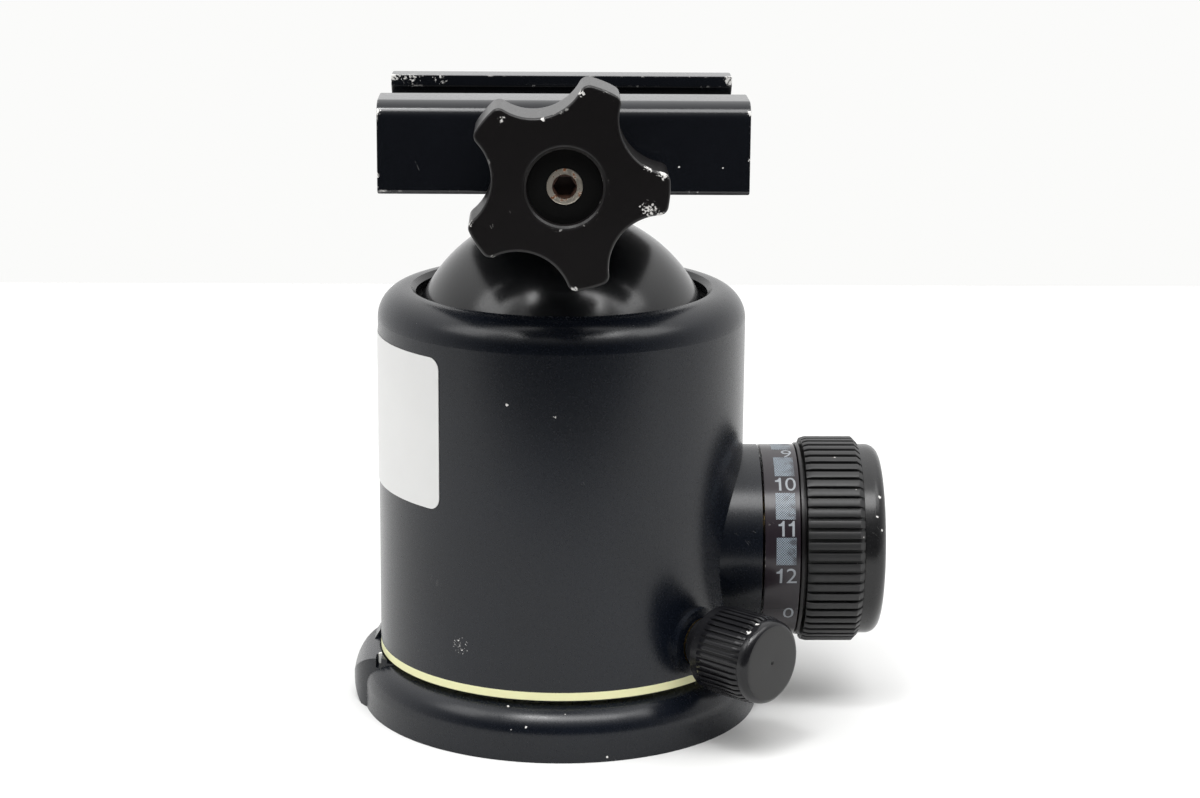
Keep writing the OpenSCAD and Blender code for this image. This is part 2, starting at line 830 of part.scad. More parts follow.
module ball() {
  color(gloss) difference() {
    union() {
      translate([0, 0, ball_z]) sphere(r = ball_r);
      bar(stem_r, ball_z, stem_plate_z + stem_plate_h);
      bar(stem_plate_d / 2, stem_plate_z, stem_plate_z + stem_plate_h);
    }
    bar(bolt_r + fit, bolt_z - stem_bolt_length - past, clamp_z);
  }
}

module stem_washer() {
  color(polymer) ring(bolt_r + fit, stem_plate_d / 2, stem_plate_z + stem_plate_h, stem_washer_h);
}

// ---- clamp ----

// Outline of the fixed jaw and floor, seen along X; y is measured towards -Y
module base_outline() {
  rear_top = jaw_top - rear_drop;
  difference() {
    polygon([
      [base_front, clamp_z + clamp_chamfer], [base_front, floor_z],
      [-lip_y - undercut, floor_z], [-lip_y - undercut, floor_z + undercut_foot],
      [-lip_y, floor_z + undercut_foot + undercut], [-lip_y, rear_top],
      [-jaw_rear, rear_top], [-jaw_rear, clamp_z + clamp_chamfer],
      [-jaw_rear + clamp_chamfer, clamp_z], [base_front - clamp_chamfer, clamp_z]
    ]);
    mirror([1, 0]) corner_cut(jaw_rear, rear_top, jaw_round);
  }
}

module jaw_outline() {
  difference() {
    polygon([
      [jaw_inner, clamp_z], [jaw_inner, floor_z + gap], [lip_y + undercut, floor_z + gap],
      [lip_y + undercut, floor_z + undercut_foot], [lip_y, floor_z + undercut_foot + undercut],
      [lip_y, jaw_top], [jaw_front, jaw_top], [jaw_front, clamp_z + clamp_chamfer],
      [jaw_front - clamp_chamfer, clamp_z]
    ]);
    corner_cut(jaw_front, jaw_top, jaw_round);
  }
}

// Stands an outline up along X over the clamp's length
module clamp_extrude() {
  translate([clamp_l / 2, 0, 0]) rotate([0, 0, -90]) rotate([90, 0, 0])
    linear_extrude(clamp_l) children();
}

module clamp_base() {
  color(black) difference() {
    clamp_extrude() base_outline();
    bar(bolt_r, clamp_z - past, floor_z + past);
    bar(bolt_head_r, bolt_z, floor_z + past);
    translate([0, -nut_y, 0]) bar(nut_r, clamp_z - past, floor_z - nut_cover);
    clamp_frame() bar(screw_r + fit, screw_start - close_room - screw_room, base_front + past);
    for (side = [-1, 1]) clamp_frame(side * pin_x) bar(pin_r, base_front - guide_pin_l, base_front + past);
  }
}

module stem_bolt() {
  color(steel) difference() {
    union() {
      bar(bolt_r, bolt_z - stem_bolt_length, bolt_z);
      bar(bolt_head_r, bolt_z, bolt_z + bolt_head_h);
    }
    translate([0, 0, bolt_z + bolt_head_h - bolt_socket_h])
      cylinder(r = bolt_r * 0.72, h = bolt_socket_h + past, $fn = 6);
  }
}

module barrel_nut() {
  color(steel) difference() {
    translate([0, -nut_y, 0]) bar(nut_r, clamp_z + screw_room, floor_z - nut_cover);
    clamp_frame() bar(screw_r + fit, 0, jaw_front);
  }
}

module guide_pins() {
  color(steel) for (side = [-1, 1]) clamp_frame(side * pin_x)
    bar(pin_r, base_front - guide_pin_l, jaw_front - guide_pin_sink);
}

module moving_jaw() {
  color(black) difference() {
    clamp_extrude() jaw_outline();
    clamp_frame() bar(screw_r + fit, jaw_inner - past, jaw_front + past);
    for (side = [-1, 1]) clamp_frame(side * pin_x) bar(pin_r + fit, jaw_inner - past, jaw_front - 0.7);
  }
}

module clamp_screw() {
  color(brass) clamp_frame() difference() {
    bar(screw_r, screw_start, screw_end);
    translate([0, 0, screw_end - 2.4]) cylinder(r = hex_r, h = 3, $fn = 6);
  }
}

module at_corners() {
  for (i = [0 : lobes - 1]) for (side = [-1, 1])
    rotate((i + 0.5) * lobe_step + side * corner_turn) translate([corner_y, 0]) children();
}

// The sharp tip beyond a corner's circle, between the two points where the circle touches
module corner_tip(side) {
  out = [corner_reach, 0];
  across = [scallop_y * cos(corner_turn) - corner_y, -side * scallop_y * sin(corner_turn)]
           * corner_reach / (scallop_r + lobe_round);
  polygon([[0, 0], out, out + across, across]);
}

module lobe_outline() {
  difference() {
    circle(r = lobe_r);
    for (i = [0 : lobes - 1]) rotate((i + 0.5) * lobe_step) {
      translate([scallop_y, 0]) circle(r = scallop_r);
      for (side = [-1, 1])
        rotate(side * corner_turn) translate([corner_y, 0]) corner_tip(side);
    }
  }
  at_corners() circle(r = lobe_round);
}

module clamp_knob() {
  color(black) clamp_frame() difference() {
    union() {
      translate([0, 0, knob_back]) rotate(knob_turn) linear_extrude(knob_t) lobe_outline();
      bar(knob_neck_r, jaw_front + knob_washer_h + fit, knob_back);
    }
    bar(screw_r, 0, knob_face + past);
    bar(recess_r, knob_face - recess_h, knob_face + past);
    translate([0, 0, knob_face - recess_bevel])
      cylinder(r1 = recess_r, r2 = recess_r + recess_bevel + 0.01, h = recess_bevel + 0.01);
  }
}

module knob_insert() {
  color(rubber_grey) clamp_frame() ring(screw_r, recess_r, knob_face - recess_h, 1.2);
}

module knob_washer() {
  color(steel) clamp_frame() ring(screw_r + fit, knob_neck_r - 0.4, jaw_front + fit, knob_washer_h);
}

// ---- panning lock ----

module pan_lock_pad() {
  color(polymer) pan_lock_frame() bar(pan_pad_r, pan_pad_x, pan_pad_end);
}

module pan_lock_stud() {
  color(steel) pan_lock_frame() bar(pan_stud_r, pan_pad_end + fit, pan_nose_x - 2);
}

module pan_lock_knob() {
  nose_r = pan_knob_r - 0.3;
  color(black) pan_lock_frame() difference() {
    union() {
      bar(pan_neck_r, pan_neck_x, pan_collar_x);
      bar(pan_knob_r - 0.4, pan_collar_x, pan_knurl_x);
      bar(pan_knob_r, pan_knurl_x, pan_nose_x);
      rotate_extrude() difference() {
        translate([0, pan_nose_x]) square([nose_r, pan_nose_l]);
        corner_cut(nose_r, pan_end, pan_nose_round);
      }
    }
    bar(pan_stud_r, 0, pan_nose_x - 2);
  }
}

base_foot();
tripod_insert();
pan_hub();
hub_screws();
slide_washer();
hub_thrust_washer();
index_mark();
housing();
pan_ring();
floor_ring();
upper_seat_ring();
mouth_seal();
lock_bush();
mechanism_plate();
retaining_clip();
cup_guide_pin();
pan_lock_bush();
paper_label();
lock_shaft();
shaft_clip();
knob_core();
core_pin();
scale_ring();
rubber_grip();
disc_springs();
knob_thrust_washer();
end_cap();
preset_spindle();
wedge_nut();
pressure_cup();
lift_pins();
friction_liner();
ball();
stem_washer();
clamp_base();
stem_bolt();
barrel_nut();
guide_pins();
moving_jaw();
clamp_screw();
clamp_knob();
knob_insert();
knob_washer();
pan_lock_pad();
pan_lock_stud();
pan_lock_knob();
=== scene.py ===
# %% [markdown]
# # A tripod ball head
# This notebook dresses a CAD model of a tripod ball head: a foot, a cylindrical housing that
# grips a ball, a graduated lock knob, a small panning knob and a screw clamp on top.
# The CAD model is loaded as a frame that never moves. Pieces are then laid over it or take the
# place of a plain solid, and every solid gets a finish made of nodes.

# %% Load the frame
import json
import math

import bmesh
import bpy
from mathutils import Matrix, Vector

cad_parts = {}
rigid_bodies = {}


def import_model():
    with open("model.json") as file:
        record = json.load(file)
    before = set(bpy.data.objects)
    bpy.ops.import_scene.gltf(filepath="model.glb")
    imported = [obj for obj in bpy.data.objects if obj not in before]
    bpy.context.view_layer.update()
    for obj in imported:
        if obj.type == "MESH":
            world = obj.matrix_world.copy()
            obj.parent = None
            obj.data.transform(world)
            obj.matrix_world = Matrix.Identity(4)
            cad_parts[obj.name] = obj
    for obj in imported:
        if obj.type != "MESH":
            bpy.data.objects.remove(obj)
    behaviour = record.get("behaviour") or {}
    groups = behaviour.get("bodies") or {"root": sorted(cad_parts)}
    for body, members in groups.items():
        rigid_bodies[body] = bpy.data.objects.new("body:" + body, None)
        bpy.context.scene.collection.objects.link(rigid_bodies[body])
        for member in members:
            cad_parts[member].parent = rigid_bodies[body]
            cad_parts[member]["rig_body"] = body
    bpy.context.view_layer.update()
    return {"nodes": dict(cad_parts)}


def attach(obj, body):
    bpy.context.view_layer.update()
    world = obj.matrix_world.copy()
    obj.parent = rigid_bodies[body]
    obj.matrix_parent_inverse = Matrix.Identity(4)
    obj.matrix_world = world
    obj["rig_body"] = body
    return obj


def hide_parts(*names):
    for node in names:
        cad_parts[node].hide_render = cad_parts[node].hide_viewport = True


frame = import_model()
scene = bpy.context.scene

# %% [markdown]
# ## Camera
# The head is looked at from a little above, through a long lens from about half a metre. The
# direction is given by three turns: down, to the right, and a slight lean of the camera.
# A matrix made of the camera's own axes says this exactly, with no rounding by Euler angles.

# %% Camera
MM = 0.001
SENSOR = 36

def new_object(name, data):
    made = bpy.data.objects.new(name, data)
    scene.collection.objects.link(made)
    return made

def add_camera(place, down, right_turn, lean, lens):
    """A camera at a place in metres. The turns are in radians, the lens in millimetres."""
    forward = Vector((math.sin(right_turn) * math.cos(down),
                      math.cos(right_turn) * math.cos(down), -math.sin(down)))
    right = Vector((math.cos(right_turn), -math.sin(right_turn), 0))
    up = right.cross(forward)
    axes = (right * math.cos(lean) + up * math.sin(lean),
            up * math.cos(lean) - right * math.sin(lean), -forward)
    data = bpy.data.cameras.new("camera")
    data.sensor_width = SENSOR
    data.lens = lens
    camera = new_object("camera", data)
    camera.matrix_world = Matrix.Translation(place) @ Matrix(axes).transposed().to_4x4()
    scene.camera = camera
    return camera

camera = add_camera(place=Vector((-4.07, -471.5, 170.23)) * MM, down=0.2403,
                    right_turn=0.0231, lean=0.0079, lens=82.63)
print("camera at", [round(v, 4) for v in camera.location], "lens", camera.data.lens)

# %% [markdown]
# ## Studio
# Black parts show little but what they reflect, so the room matters more than the lamps. The
# room is white overhead, at the sides and behind the head, and dim on the camera's side, which
# keeps the fronts deep black and lets the edges turn grey. Two soft boxes above, to the left
# and right, put a highlight on each side of what is round. A wide one and a small one hang high
# in front, where rounded edges catch them and upright fronts don't. The floor is a plain pale
# sheet. It ends a short way in front of the head, because the upright fronts mirror it, and
# a long sheet turns them grey. The camera itself sees the room as plain white.

# %% Room
ROOM_WHITE = (0.965, 0.965, 0.955, 1)
DIM_TO_LIT = (-0.9, 0.4)
SIDE_TO_TOP = (0.35, 1.0)

def new_node(tree, kind, **settings):
    node = tree.nodes.new(kind)
    for name, value in settings.items():
        setattr(node, name, value)
    return node

def room_ramp(tree, between, low, high):
    """Turns one part of a ray's direction into a strength that rises smoothly."""
    node = new_node(tree, "ShaderNodeMapRange", interpolation_type="SMOOTHSTEP")
    for name, value in {"From Min": between[0], "From Max": between[1],
                        "To Min": low, "To Max": high}.items():
        node.inputs[name].default_value = value
    return node

def make_room(behind_camera, far_side, overhead):
    """The strengths are that behind the camera, that beyond the head, and what is added
    overhead. A ray's Y says where it lies in DIM_TO_LIT, and its Z where in SIDE_TO_TOP."""
    world = bpy.data.worlds.new("white room")
    world.use_nodes = True
    scene.world = world
    tree = world.node_tree
    tree.nodes.clear()
    out = new_node(tree, "ShaderNodeOutputWorld")
    place = new_node(tree, "ShaderNodeTexCoord")
    axes = new_node(tree, "ShaderNodeSeparateXYZ")
    front = room_ramp(tree, DIM_TO_LIT, behind_camera, far_side)
    rise = room_ramp(tree, SIDE_TO_TOP, 0.0, overhead)
    both = new_node(tree, "ShaderNodeMath", operation="ADD")
    lit = new_node(tree, "ShaderNodeBackground")
    seen = new_node(tree, "ShaderNodeBackground")
    seen.inputs["Color"].default_value = ROOM_WHITE
    seen.inputs["Strength"].default_value = 1
    ray = new_node(tree, "ShaderNodeLightPath")
    mix = new_node(tree, "ShaderNodeMixShader")
    link = tree.links.new
    link(place.outputs["Generated"], axes.inputs[0])
    link(axes.outputs["Y"], front.inputs["Value"])
    link(axes.outputs["Z"], rise.inputs["Value"])
    link(front.outputs["Result"], both.inputs[0])
    link(rise.outputs["Result"], both.inputs[1])
    link(both.outputs[0], lit.inputs["Strength"])
    link(ray.outputs["Is Camera Ray"], mix.inputs["Fac"])
    link(lit.outputs[0], mix.inputs[1])
    link(seen.outputs[0], mix.inputs[2])
    link(mix.outputs[0], out.inputs["Surface"])

make_room(behind_camera=0.03, far_side=1.35, overhead=1.2)
scene.view_settings.view_transform = "Standard"
print("room: white, dim on the camera's side")

# %% Soft boxes
def soft_box(name, place, target, width, height, watts):
    """A rectangular lamp at a place, facing a target, with lengths in metres."""
    data = bpy.data.lights.new(name, "AREA")
    data.shape = "RECTANGLE"
    data.size, data.size_y = width, height
    data.energy = watts
    lamp = new_object(name, data)
    look = Vector(target) - Vector(place)
    lamp.location = place
    lamp.rotation_euler = look.to_track_quat("-Z", "Y").to_euler()

soft_box("box_left", (-0.62, -0.2, 0.72), (0, 0, 0.05), 0.4, 0.4, 1.6)
soft_box("box_right", (0.62, -0.2, 0.78), (0, 0, 0.05), 0.4, 0.4, 1.6)
soft_box("box_top", (0.05, -0.5, 0.95), (0, 0, 0.03), 0.95, 0.34, 8)
soft_box("box_front", (-0.18, -0.4, 0.97), (0, 0, 0.06), 0.22, 0.14, 2.2)

# %% Floor
FLOOR_REACH = 0.373
FLOOR_FRONT = 0.21
FLOOR_GREY = (0.66, 0.66, 0.655, 1)

def level_sheet(name, reach, front):
    """A flat sheet at height 0, in metres: front towards the camera, reach the other ways."""
    mesh = bpy.data.meshes.new(name)
    mesh.from_pydata([(-reach, -front, 0), (reach, -front, 0), (reach, reach, 0),
                      (-reach, reach, 0)], [], [(0, 1, 2, 3)])
    mesh.update()
    return new_object(name, mesh)

floor = level_sheet("floor", FLOOR_REACH, FLOOR_FRONT)
floor_paint = bpy.data.materials.new("floor_paint")
floor_paint.use_nodes = True
floor_skin = floor_paint.node_tree.nodes["Principled BSDF"]
floor_skin.inputs["Base Color"].default_value = FLOOR_GREY
floor_skin.inputs["Roughness"].default_value = 0.9
floor_skin.inputs["Specular IOR Level"].default_value = 0.1
floor.data.materials.append(floor_paint)
print("floor:", 2 * FLOOR_REACH, "m wide,", round(FLOOR_REACH + FLOOR_FRONT, 3), "m deep")

# %% [markdown]
# ## Effects that several finishes share
# Worn black metal needs the same few effects again and again: a fine grain, sparse specks,
# hairline scratches, a worn edge, and a worn spot at a given place. Each is a node group with
# named inputs, built once. A group puts out only a mask or a value, and the finish decides
# what it does with it.

# %% Groups: helpers
def start_group(name, inputs, output):
    group = bpy.data.node_groups.new(name, "ShaderNodeTree")
    for title, value in inputs.items():
        vector = isinstance(value, tuple)
        kind = "NodeSocketVector" if vector else "NodeSocketFloat"
        socket = group.interface.new_socket(title, in_out="INPUT", socket_type=kind)
        socket.default_value = value
    group.interface.new_socket(output, in_out="OUTPUT", socket_type="NodeSocketFloat")
    return group, new_node(group, "NodeGroupInput"), new_node(group, "NodeGroupOutput")

def feed(tree, slot, value):
    """Gives an input a number, or links another node's output to it."""
    if isinstance(value, (int, float)):
        slot.default_value = value
    else:
        tree.links.new(value, slot)

def math_node(tree, operation, a, b=0.0, clamp=False):
    """A Math node whose two inputs are sockets or numbers."""
    node = new_node(tree, "ShaderNodeMath", operation=operation, use_clamp=clamp)
    feed(tree, node.inputs[0], a)
    feed(tree, node.inputs[1], b)
    return node.outputs[0]

def object_place(tree):
    """Where a point lies, in metres, on a piece whose object sits at the origin."""
    return new_node(tree, "ShaderNodeTexCoord").outputs["Object"]

def noise_node(tree, vector, scale, detail=2.0, rough=0.5):
    node = new_node(tree, "ShaderNodeTexNoise")
    node.inputs["Roughness"].default_value = rough
    tree.links.new(vector, node.inputs["Vector"])
    feed(tree, node.inputs["Scale"], scale)
    feed(tree, node.inputs["Detail"], detail)
    return node.outputs["Fac"]

def ramp_node(tree, value, low, high):
    """Rises smoothly from 0 at low to 1 at high; low and high are numbers or sockets."""
    node = new_node(tree, "ShaderNodeMapRange", interpolation_type="SMOOTHSTEP")
    tree.links.new(value, node.inputs["Value"])
    feed(tree, node.inputs["From Min"], low)
    feed(tree, node.inputs["From Max"], high)
    return node.outputs["Result"]

print("helpers for node groups are ready")

# %% Groups: grain and specks
def build_grain():
    """Noise about 0.5, as fine as a blasted or moulded surface."""
    group, given, out = start_group("fine grain", {"Scale": 3000.0, "Detail": 3.0}, "Grain")
    grain = noise_node(group, object_place(group), given.outputs["Scale"],
                       given.outputs["Detail"])
    group.links.new(grain, out.inputs["Grain"])
    return group

def build_specks():
    """A few of the cells of a Voronoi pattern hold a speck of ragged outline."""
    group, given, out = start_group(
        "specks", {"Scale": 700.0, "Share": 0.02, "Size": 0.3}, "Mask")
    link = group.links.new
    place = object_place(group)
    cells = new_node(group, "ShaderNodeTexVoronoi")
    link(place, cells.inputs["Vector"])
    link(given.outputs["Scale"], cells.inputs["Scale"])
    pick = new_node(group, "ShaderNodeSeparateColor")
    link(cells.outputs["Color"], pick.inputs[0])
    chosen = math_node(group, "LESS_THAN", pick.outputs[0], given.outputs["Share"])
    ragged = noise_node(group, place, math_node(group, "MULTIPLY", given.outputs["Scale"], 4.0))
    size = math_node(group, "MULTIPLY", given.outputs["Size"],
                     math_node(group, "ADD", ragged, 0.4))
    size = math_node(group, "MULTIPLY", size, pick.outputs[1])
    near = math_node(group, "LESS_THAN", cells.outputs["Distance"], size)
    link(math_node(group, "MULTIPLY", chosen, near), out.inputs["Mask"])
    return group

grain_group = build_grain()
specks_group = build_specks()
print("groups:", grain_group.name, "and", specks_group.name)

# %% Groups: scratches, worn edges and worn spots
def build_scratches():
    """Hairlines: the thin level lines of a noise that is stretched one way."""
    group, given, out = start_group(
        "scratches", {"Turn": (0.0, 0.0, 0.0), "Stretch": (60.0, 1500.0, 60.0),
                      "Share": 0.35, "Width": 0.004}, "Mask")
    link = group.links.new
    place = object_place(group)
    turned = new_node(group, "ShaderNodeVectorRotate", rotation_type="EULER_XYZ")
    link(place, turned.inputs["Vector"])
    link(given.outputs["Turn"], turned.inputs["Rotation"])
    long = new_node(group, "ShaderNodeVectorMath", operation="MULTIPLY")
    link(turned.outputs[0], long.inputs[0])
    link(given.outputs["Stretch"], long.inputs[1])
    noise = noise_node(group, long.outputs[0], scale=1.0)
    level = math_node(group, "ABSOLUTE", math_node(group, "SUBTRACT", noise, 0.5))
    line = math_node(group, "LESS_THAN", level, given.outputs["Width"])
    coarse = noise_node(group, place, scale=160.0, detail=3.0)
    here = math_node(group, "LESS_THAN", coarse, given.outputs["Share"])
    link(math_node(group, "MULTIPLY", line, here), out.inputs["Mask"])
    return group

def build_edge_wear():
    """The pieces carry an attribute, edge, that is 1 on a rounded edge and 0 elsewhere. A fine
    noise rubs the coat through in patches there, and a coarse one spares whole stretches."""
    group, given, out = start_group(
        "edge wear", {"Scale": 900.0, "From": 0.45, "To": 0.6}, "Mask")
    link = group.links.new
    place = object_place(group)
    edge = new_node(group, "ShaderNodeAttribute", attribute_name="edge").outputs["Fac"]
    noise = noise_node(group, place, given.outputs["Scale"], detail=5.0, rough=0.65)
    patchy = ramp_node(group, noise, given.outputs["From"], given.outputs["To"])
    stretch = ramp_node(group, noise_node(group, place, scale=170.0), 0.5, 0.68)
    patchy = math_node(group, "MULTIPLY", patchy, stretch)
    link(math_node(group, "MULTIPLY", edge, patchy), out.inputs["Mask"])
    return group

def build_worn_spot():
    """1 inside a ragged ball about a place, for a chip or a rub that is where it is."""
    group, given, out = start_group(
        "worn spot", {"Centre": (0.0, 0.0, 0.0), "Radius": 0.001, "Density": 0.5,
                      "Scale": 2500.0}, "Mask")
    link = group.links.new
    place = object_place(group)
    gap = new_node(group, "ShaderNodeVectorMath", operation="DISTANCE")
    link(place, gap.inputs[0])
    link(given.outputs["Centre"], gap.inputs[1])
    share = math_node(group, "DIVIDE", gap.outputs["Value"], given.outputs["Radius"])
    fade = math_node(group, "SUBTRACT", 1.0, share, clamp=True)
    noise = noise_node(group, place, given.outputs["Scale"], detail=3.0, rough=0.6)
    push = math_node(group, "MULTIPLY", fade, given.outputs["Density"])
    mask = ramp_node(group, math_node(group, "ADD", push, noise), 0.62, 0.7)
    inside = math_node(group, "GREATER_THAN", fade, 0.01)
    link(math_node(group, "MULTIPLY", mask, inside), out.inputs["Mask"])
    return group

scratches_group = build_scratches()
edge_group = build_edge_wear()
spot_group = build_worn_spot()
print("groups:", len(bpy.data.node_groups))

# %% [markdown]
# ## Finishes
# The visible metal is aluminium under a black anodised coat. Such a coat is a clear oxide with
# dye in it, so it is shaded as a dark, slightly rough dielectric and not as a metal; where it
# is chipped, pale bare metal shows. One function makes all the black coats, with their own
# colour, sheen and wear.

# %% Finish helpers
def start_finish(name, colour, rough):
    finish = bpy.data.materials.new(name)
    finish.use_nodes = True
    tree = finish.node_tree
    skin = tree.nodes["Principled BSDF"]
    skin.inputs["Base Color"].default_value = (*colour, 1)
    skin.inputs["Roughness"].default_value = rough
    return finish, tree, skin

def use_group(tree, group, **values):
    node = new_node(tree, "ShaderNodeGroup", node_tree=group)
    for name, value in values.items():
        node.inputs[name].default_value = value
    return node.outputs[0]

def blend_colour(tree, mask, under, over):
    """Colour `over` where the mask is 1, else `under`; either may be a socket."""
    node = new_node(tree, "ShaderNodeMix", data_type="RGBA")
    tree.links.new(mask, node.inputs["Factor"])
    for title, value in (("A", under), ("B", over)):
        slot = next(s for s in node.inputs if s.name == title and s.type == "RGBA")
        if isinstance(value, tuple):
            slot.default_value = (*value, 1)
        else:
            tree.links.new(value, slot)
    return next(s for s in node.outputs if s.type == "RGBA")

def clouded(tree, colour, noise, low, high, factor):
    """The colour, which turns to factor times itself as the noise rises from low to high."""
    other = tuple(min(1.0, c * factor) for c in colour)
    return blend_colour(tree, ramp_node(tree, noise, low, high), colour, other)

def blend_value(tree, mask, under, over):
    span = math_node(tree, "SUBTRACT", over, under)
    return math_node(tree, "ADD", math_node(tree, "MULTIPLY", mask, span), under)

def bump(tree, skin, height, strength, depth):
    node = new_node(tree, "ShaderNodeBump")
    node.inputs["Strength"].default_value = strength
    node.inputs["Distance"].default_value = depth
    tree.links.new(height, node.inputs["Height"])
    tree.links.new(node.outputs["Normal"], skin.inputs["Normal"])

def join_masks(tree, masks):
    total = masks[0]
    for mask in masks[1:]:
        total = math_node(tree, "MAXIMUM", total, mask)
    return total

print("helpers for finishes are ready")

# %% Black coats
BARE = (0.62, 0.61, 0.59)
HAIR_STRENGTH = 0.18
LATHE_SHARE = 0.4
SHEEN_SPREAD = 0.2
CHIP_DEPTH = 3.0

def turned_lines(tree, along, fine=9000.0):
    """Noise that changes quickly along one axis only: the rings that a lathe leaves."""
    place = object_place(tree)
    squash = new_node(tree, "ShaderNodeVectorMath", operation="MULTIPLY")
    squash.inputs[1].default_value = tuple(fine if a else 60.0 for a in along)
    tree.links.new(place, squash.inputs[0])
    return noise_node(tree, squash.outputs[0], scale=1.0, detail=3.0)

def black_coat(name, colour, rough, lighter=1.3, grain=2600.0, depth=2e-6, specks=0.006,
               speck_scale=650.0, scratches=0.3, edge=(0.52, 0.62), spots=(), bare=BARE,
               shine=0.3, turned=None, beyond=None, face=None):
    """A dyed coat with fine grain, faint clouds, specks, hairlines and rubbed edges.
    Each spot is (x, y, z, radius, density), with lengths in millimetres. `turned` is the axis
    of the lathe lines, if the coat has any, and `beyond` the x past which they show. `face` is
    the axis, distance, colour and roughness of a flat end that is duller than the rest."""
    finish, tree, skin = start_finish(name, colour, rough)
    skin.inputs["Specular IOR Level"].default_value = shine
    place = object_place(tree)
    fine = use_group(tree, grain_group, Scale=grain, Detail=3.0)
    cloud = noise_node(tree, place, scale=45.0, detail=3.0)
    tone = clouded(tree, colour, cloud, 0.3, 0.7, lighter)
    if face:
        along = new_node(tree, "ShaderNodeVectorMath", operation="DOT_PRODUCT")
        tree.links.new(place, along.inputs[0])
        along.inputs[1].default_value = face[0]
        dull = math_node(tree, "GREATER_THAN", along.outputs["Value"], face[1] * MM)
        tone = blend_colour(tree, dull, tone, face[2])
    chips = [use_group(tree, specks_group, Scale=speck_scale, Share=specks, Size=0.22),
             use_group(tree, edge_group, From=edge[0], To=edge[1])]
    for x, y, z, radius, density in spots:
        chips.append(use_group(tree, spot_group, Centre=(x * MM, y * MM, z * MM),
                               Radius=radius * MM, Density=density))
    chipped = join_masks(tree, chips)
    hairlines = use_group(tree, scratches_group, Turn=(0.3, 0.9, 0.5), Share=scratches)
    hair = math_node(tree, "MULTIPLY", hairlines, HAIR_STRENGTH)
    tone = blend_colour(tree, hair, tone, bare)
    tone = blend_colour(tree, chipped, tone, bare)
    tree.links.new(tone, skin.inputs["Base Color"])
    if turned:
        lines = turned_lines(tree, turned)
        if beyond is not None:
            axes = new_node(tree, "ShaderNodeSeparateXYZ")
            tree.links.new(place, axes.inputs[0])
            far = math_node(tree, "GREATER_THAN", axes.outputs["X"], beyond * MM)
            lines = blend_value(tree, far, 0.5, lines)
        fine = math_node(tree, "ADD", math_node(tree, "MULTIPLY", fine, 1 - LATHE_SHARE),
                         math_node(tree, "MULTIPLY", lines, LATHE_SHARE))
    spread = math_node(tree, "MULTIPLY", fine, SHEEN_SPREAD)
    sheen = math_node(tree, "ADD", spread, rough - SHEEN_SPREAD / 2)
    if face:
        sheen = blend_value(tree, dull, sheen, face[3])
    tree.links.new(sheen, skin.inputs["Roughness"])
    sunk = math_node(tree, "SUBTRACT", fine, math_node(tree, "MULTIPLY", chipped, CHIP_DEPTH))
    bump(tree, skin, sunk, strength=0.6, depth=depth)
    return finish

HOUSING_SPOTS = ((-17.2, -27.1, 18.3, 1.7, 0.06), (-1.3, -32.1, 59.3, 0.4, 0.2),
                 (-9.05, -31.0, 8.7, 0.3, 0.3), (-8.5, -34.0, 5.5, 0.28, 0.3),
                 (-6.0, -34.3, 6.2, 0.28, 0.3), (0.6, -33.3, 8.1, 0.25, 0.3))
CLAMP_SPOTS = ((-30.2, -28.6, 99.0, 0.5, 0.35), (30.2, -28.6, 101.7, 0.5, 0.35),
               (18.7, -28.6, 100.5, 0.2, 0.6), (25.85, -28.6, 100.35, 0.22, 0.6),
               (-30.2, -28.3, 109.4, 0.9, 0.25), (30.2, -28.3, 109.2, 0.8, 0.25),
               (-30.1, 17.6, 109.3, 1.5, 0.35), (30.1, 17.6, 109.0, 1.5, 0.3),
               (-27.0, 17.5, 109.5, 2.2, 0.14), (-21.5, 17.5, 109.5, 1.6, 0.12))
KNOB_SPOTS = ((14.9, -45.3, 95.2, 1.2, 0.45), (13.2, -45.5, 96.3, 1.7, 0.2),
              (13.2, -45.2, 103.2, 1.1, 0.3), (15.4, -45.2, 102.0, 1.2, 0.35),
              (2.6, -45.3, 114.6, 0.8, 0.35), (-3.4, -45.2, 110.4, 0.5, 0.5),
              (-9.9, -45.4, 110.3, 0.8, 0.2), (-15.2, -45.3, 94.2, 1.0, 0.25),
              (-11.0, -45.3, 88.4, 0.8, 0.3), (1.6, -45.3, 83.6, 0.7, 0.35),
              (7.4, -45.3, 86.3, 0.7, 0.25))
PAN_AXIS = (0.71934, -0.69466, 0.0)

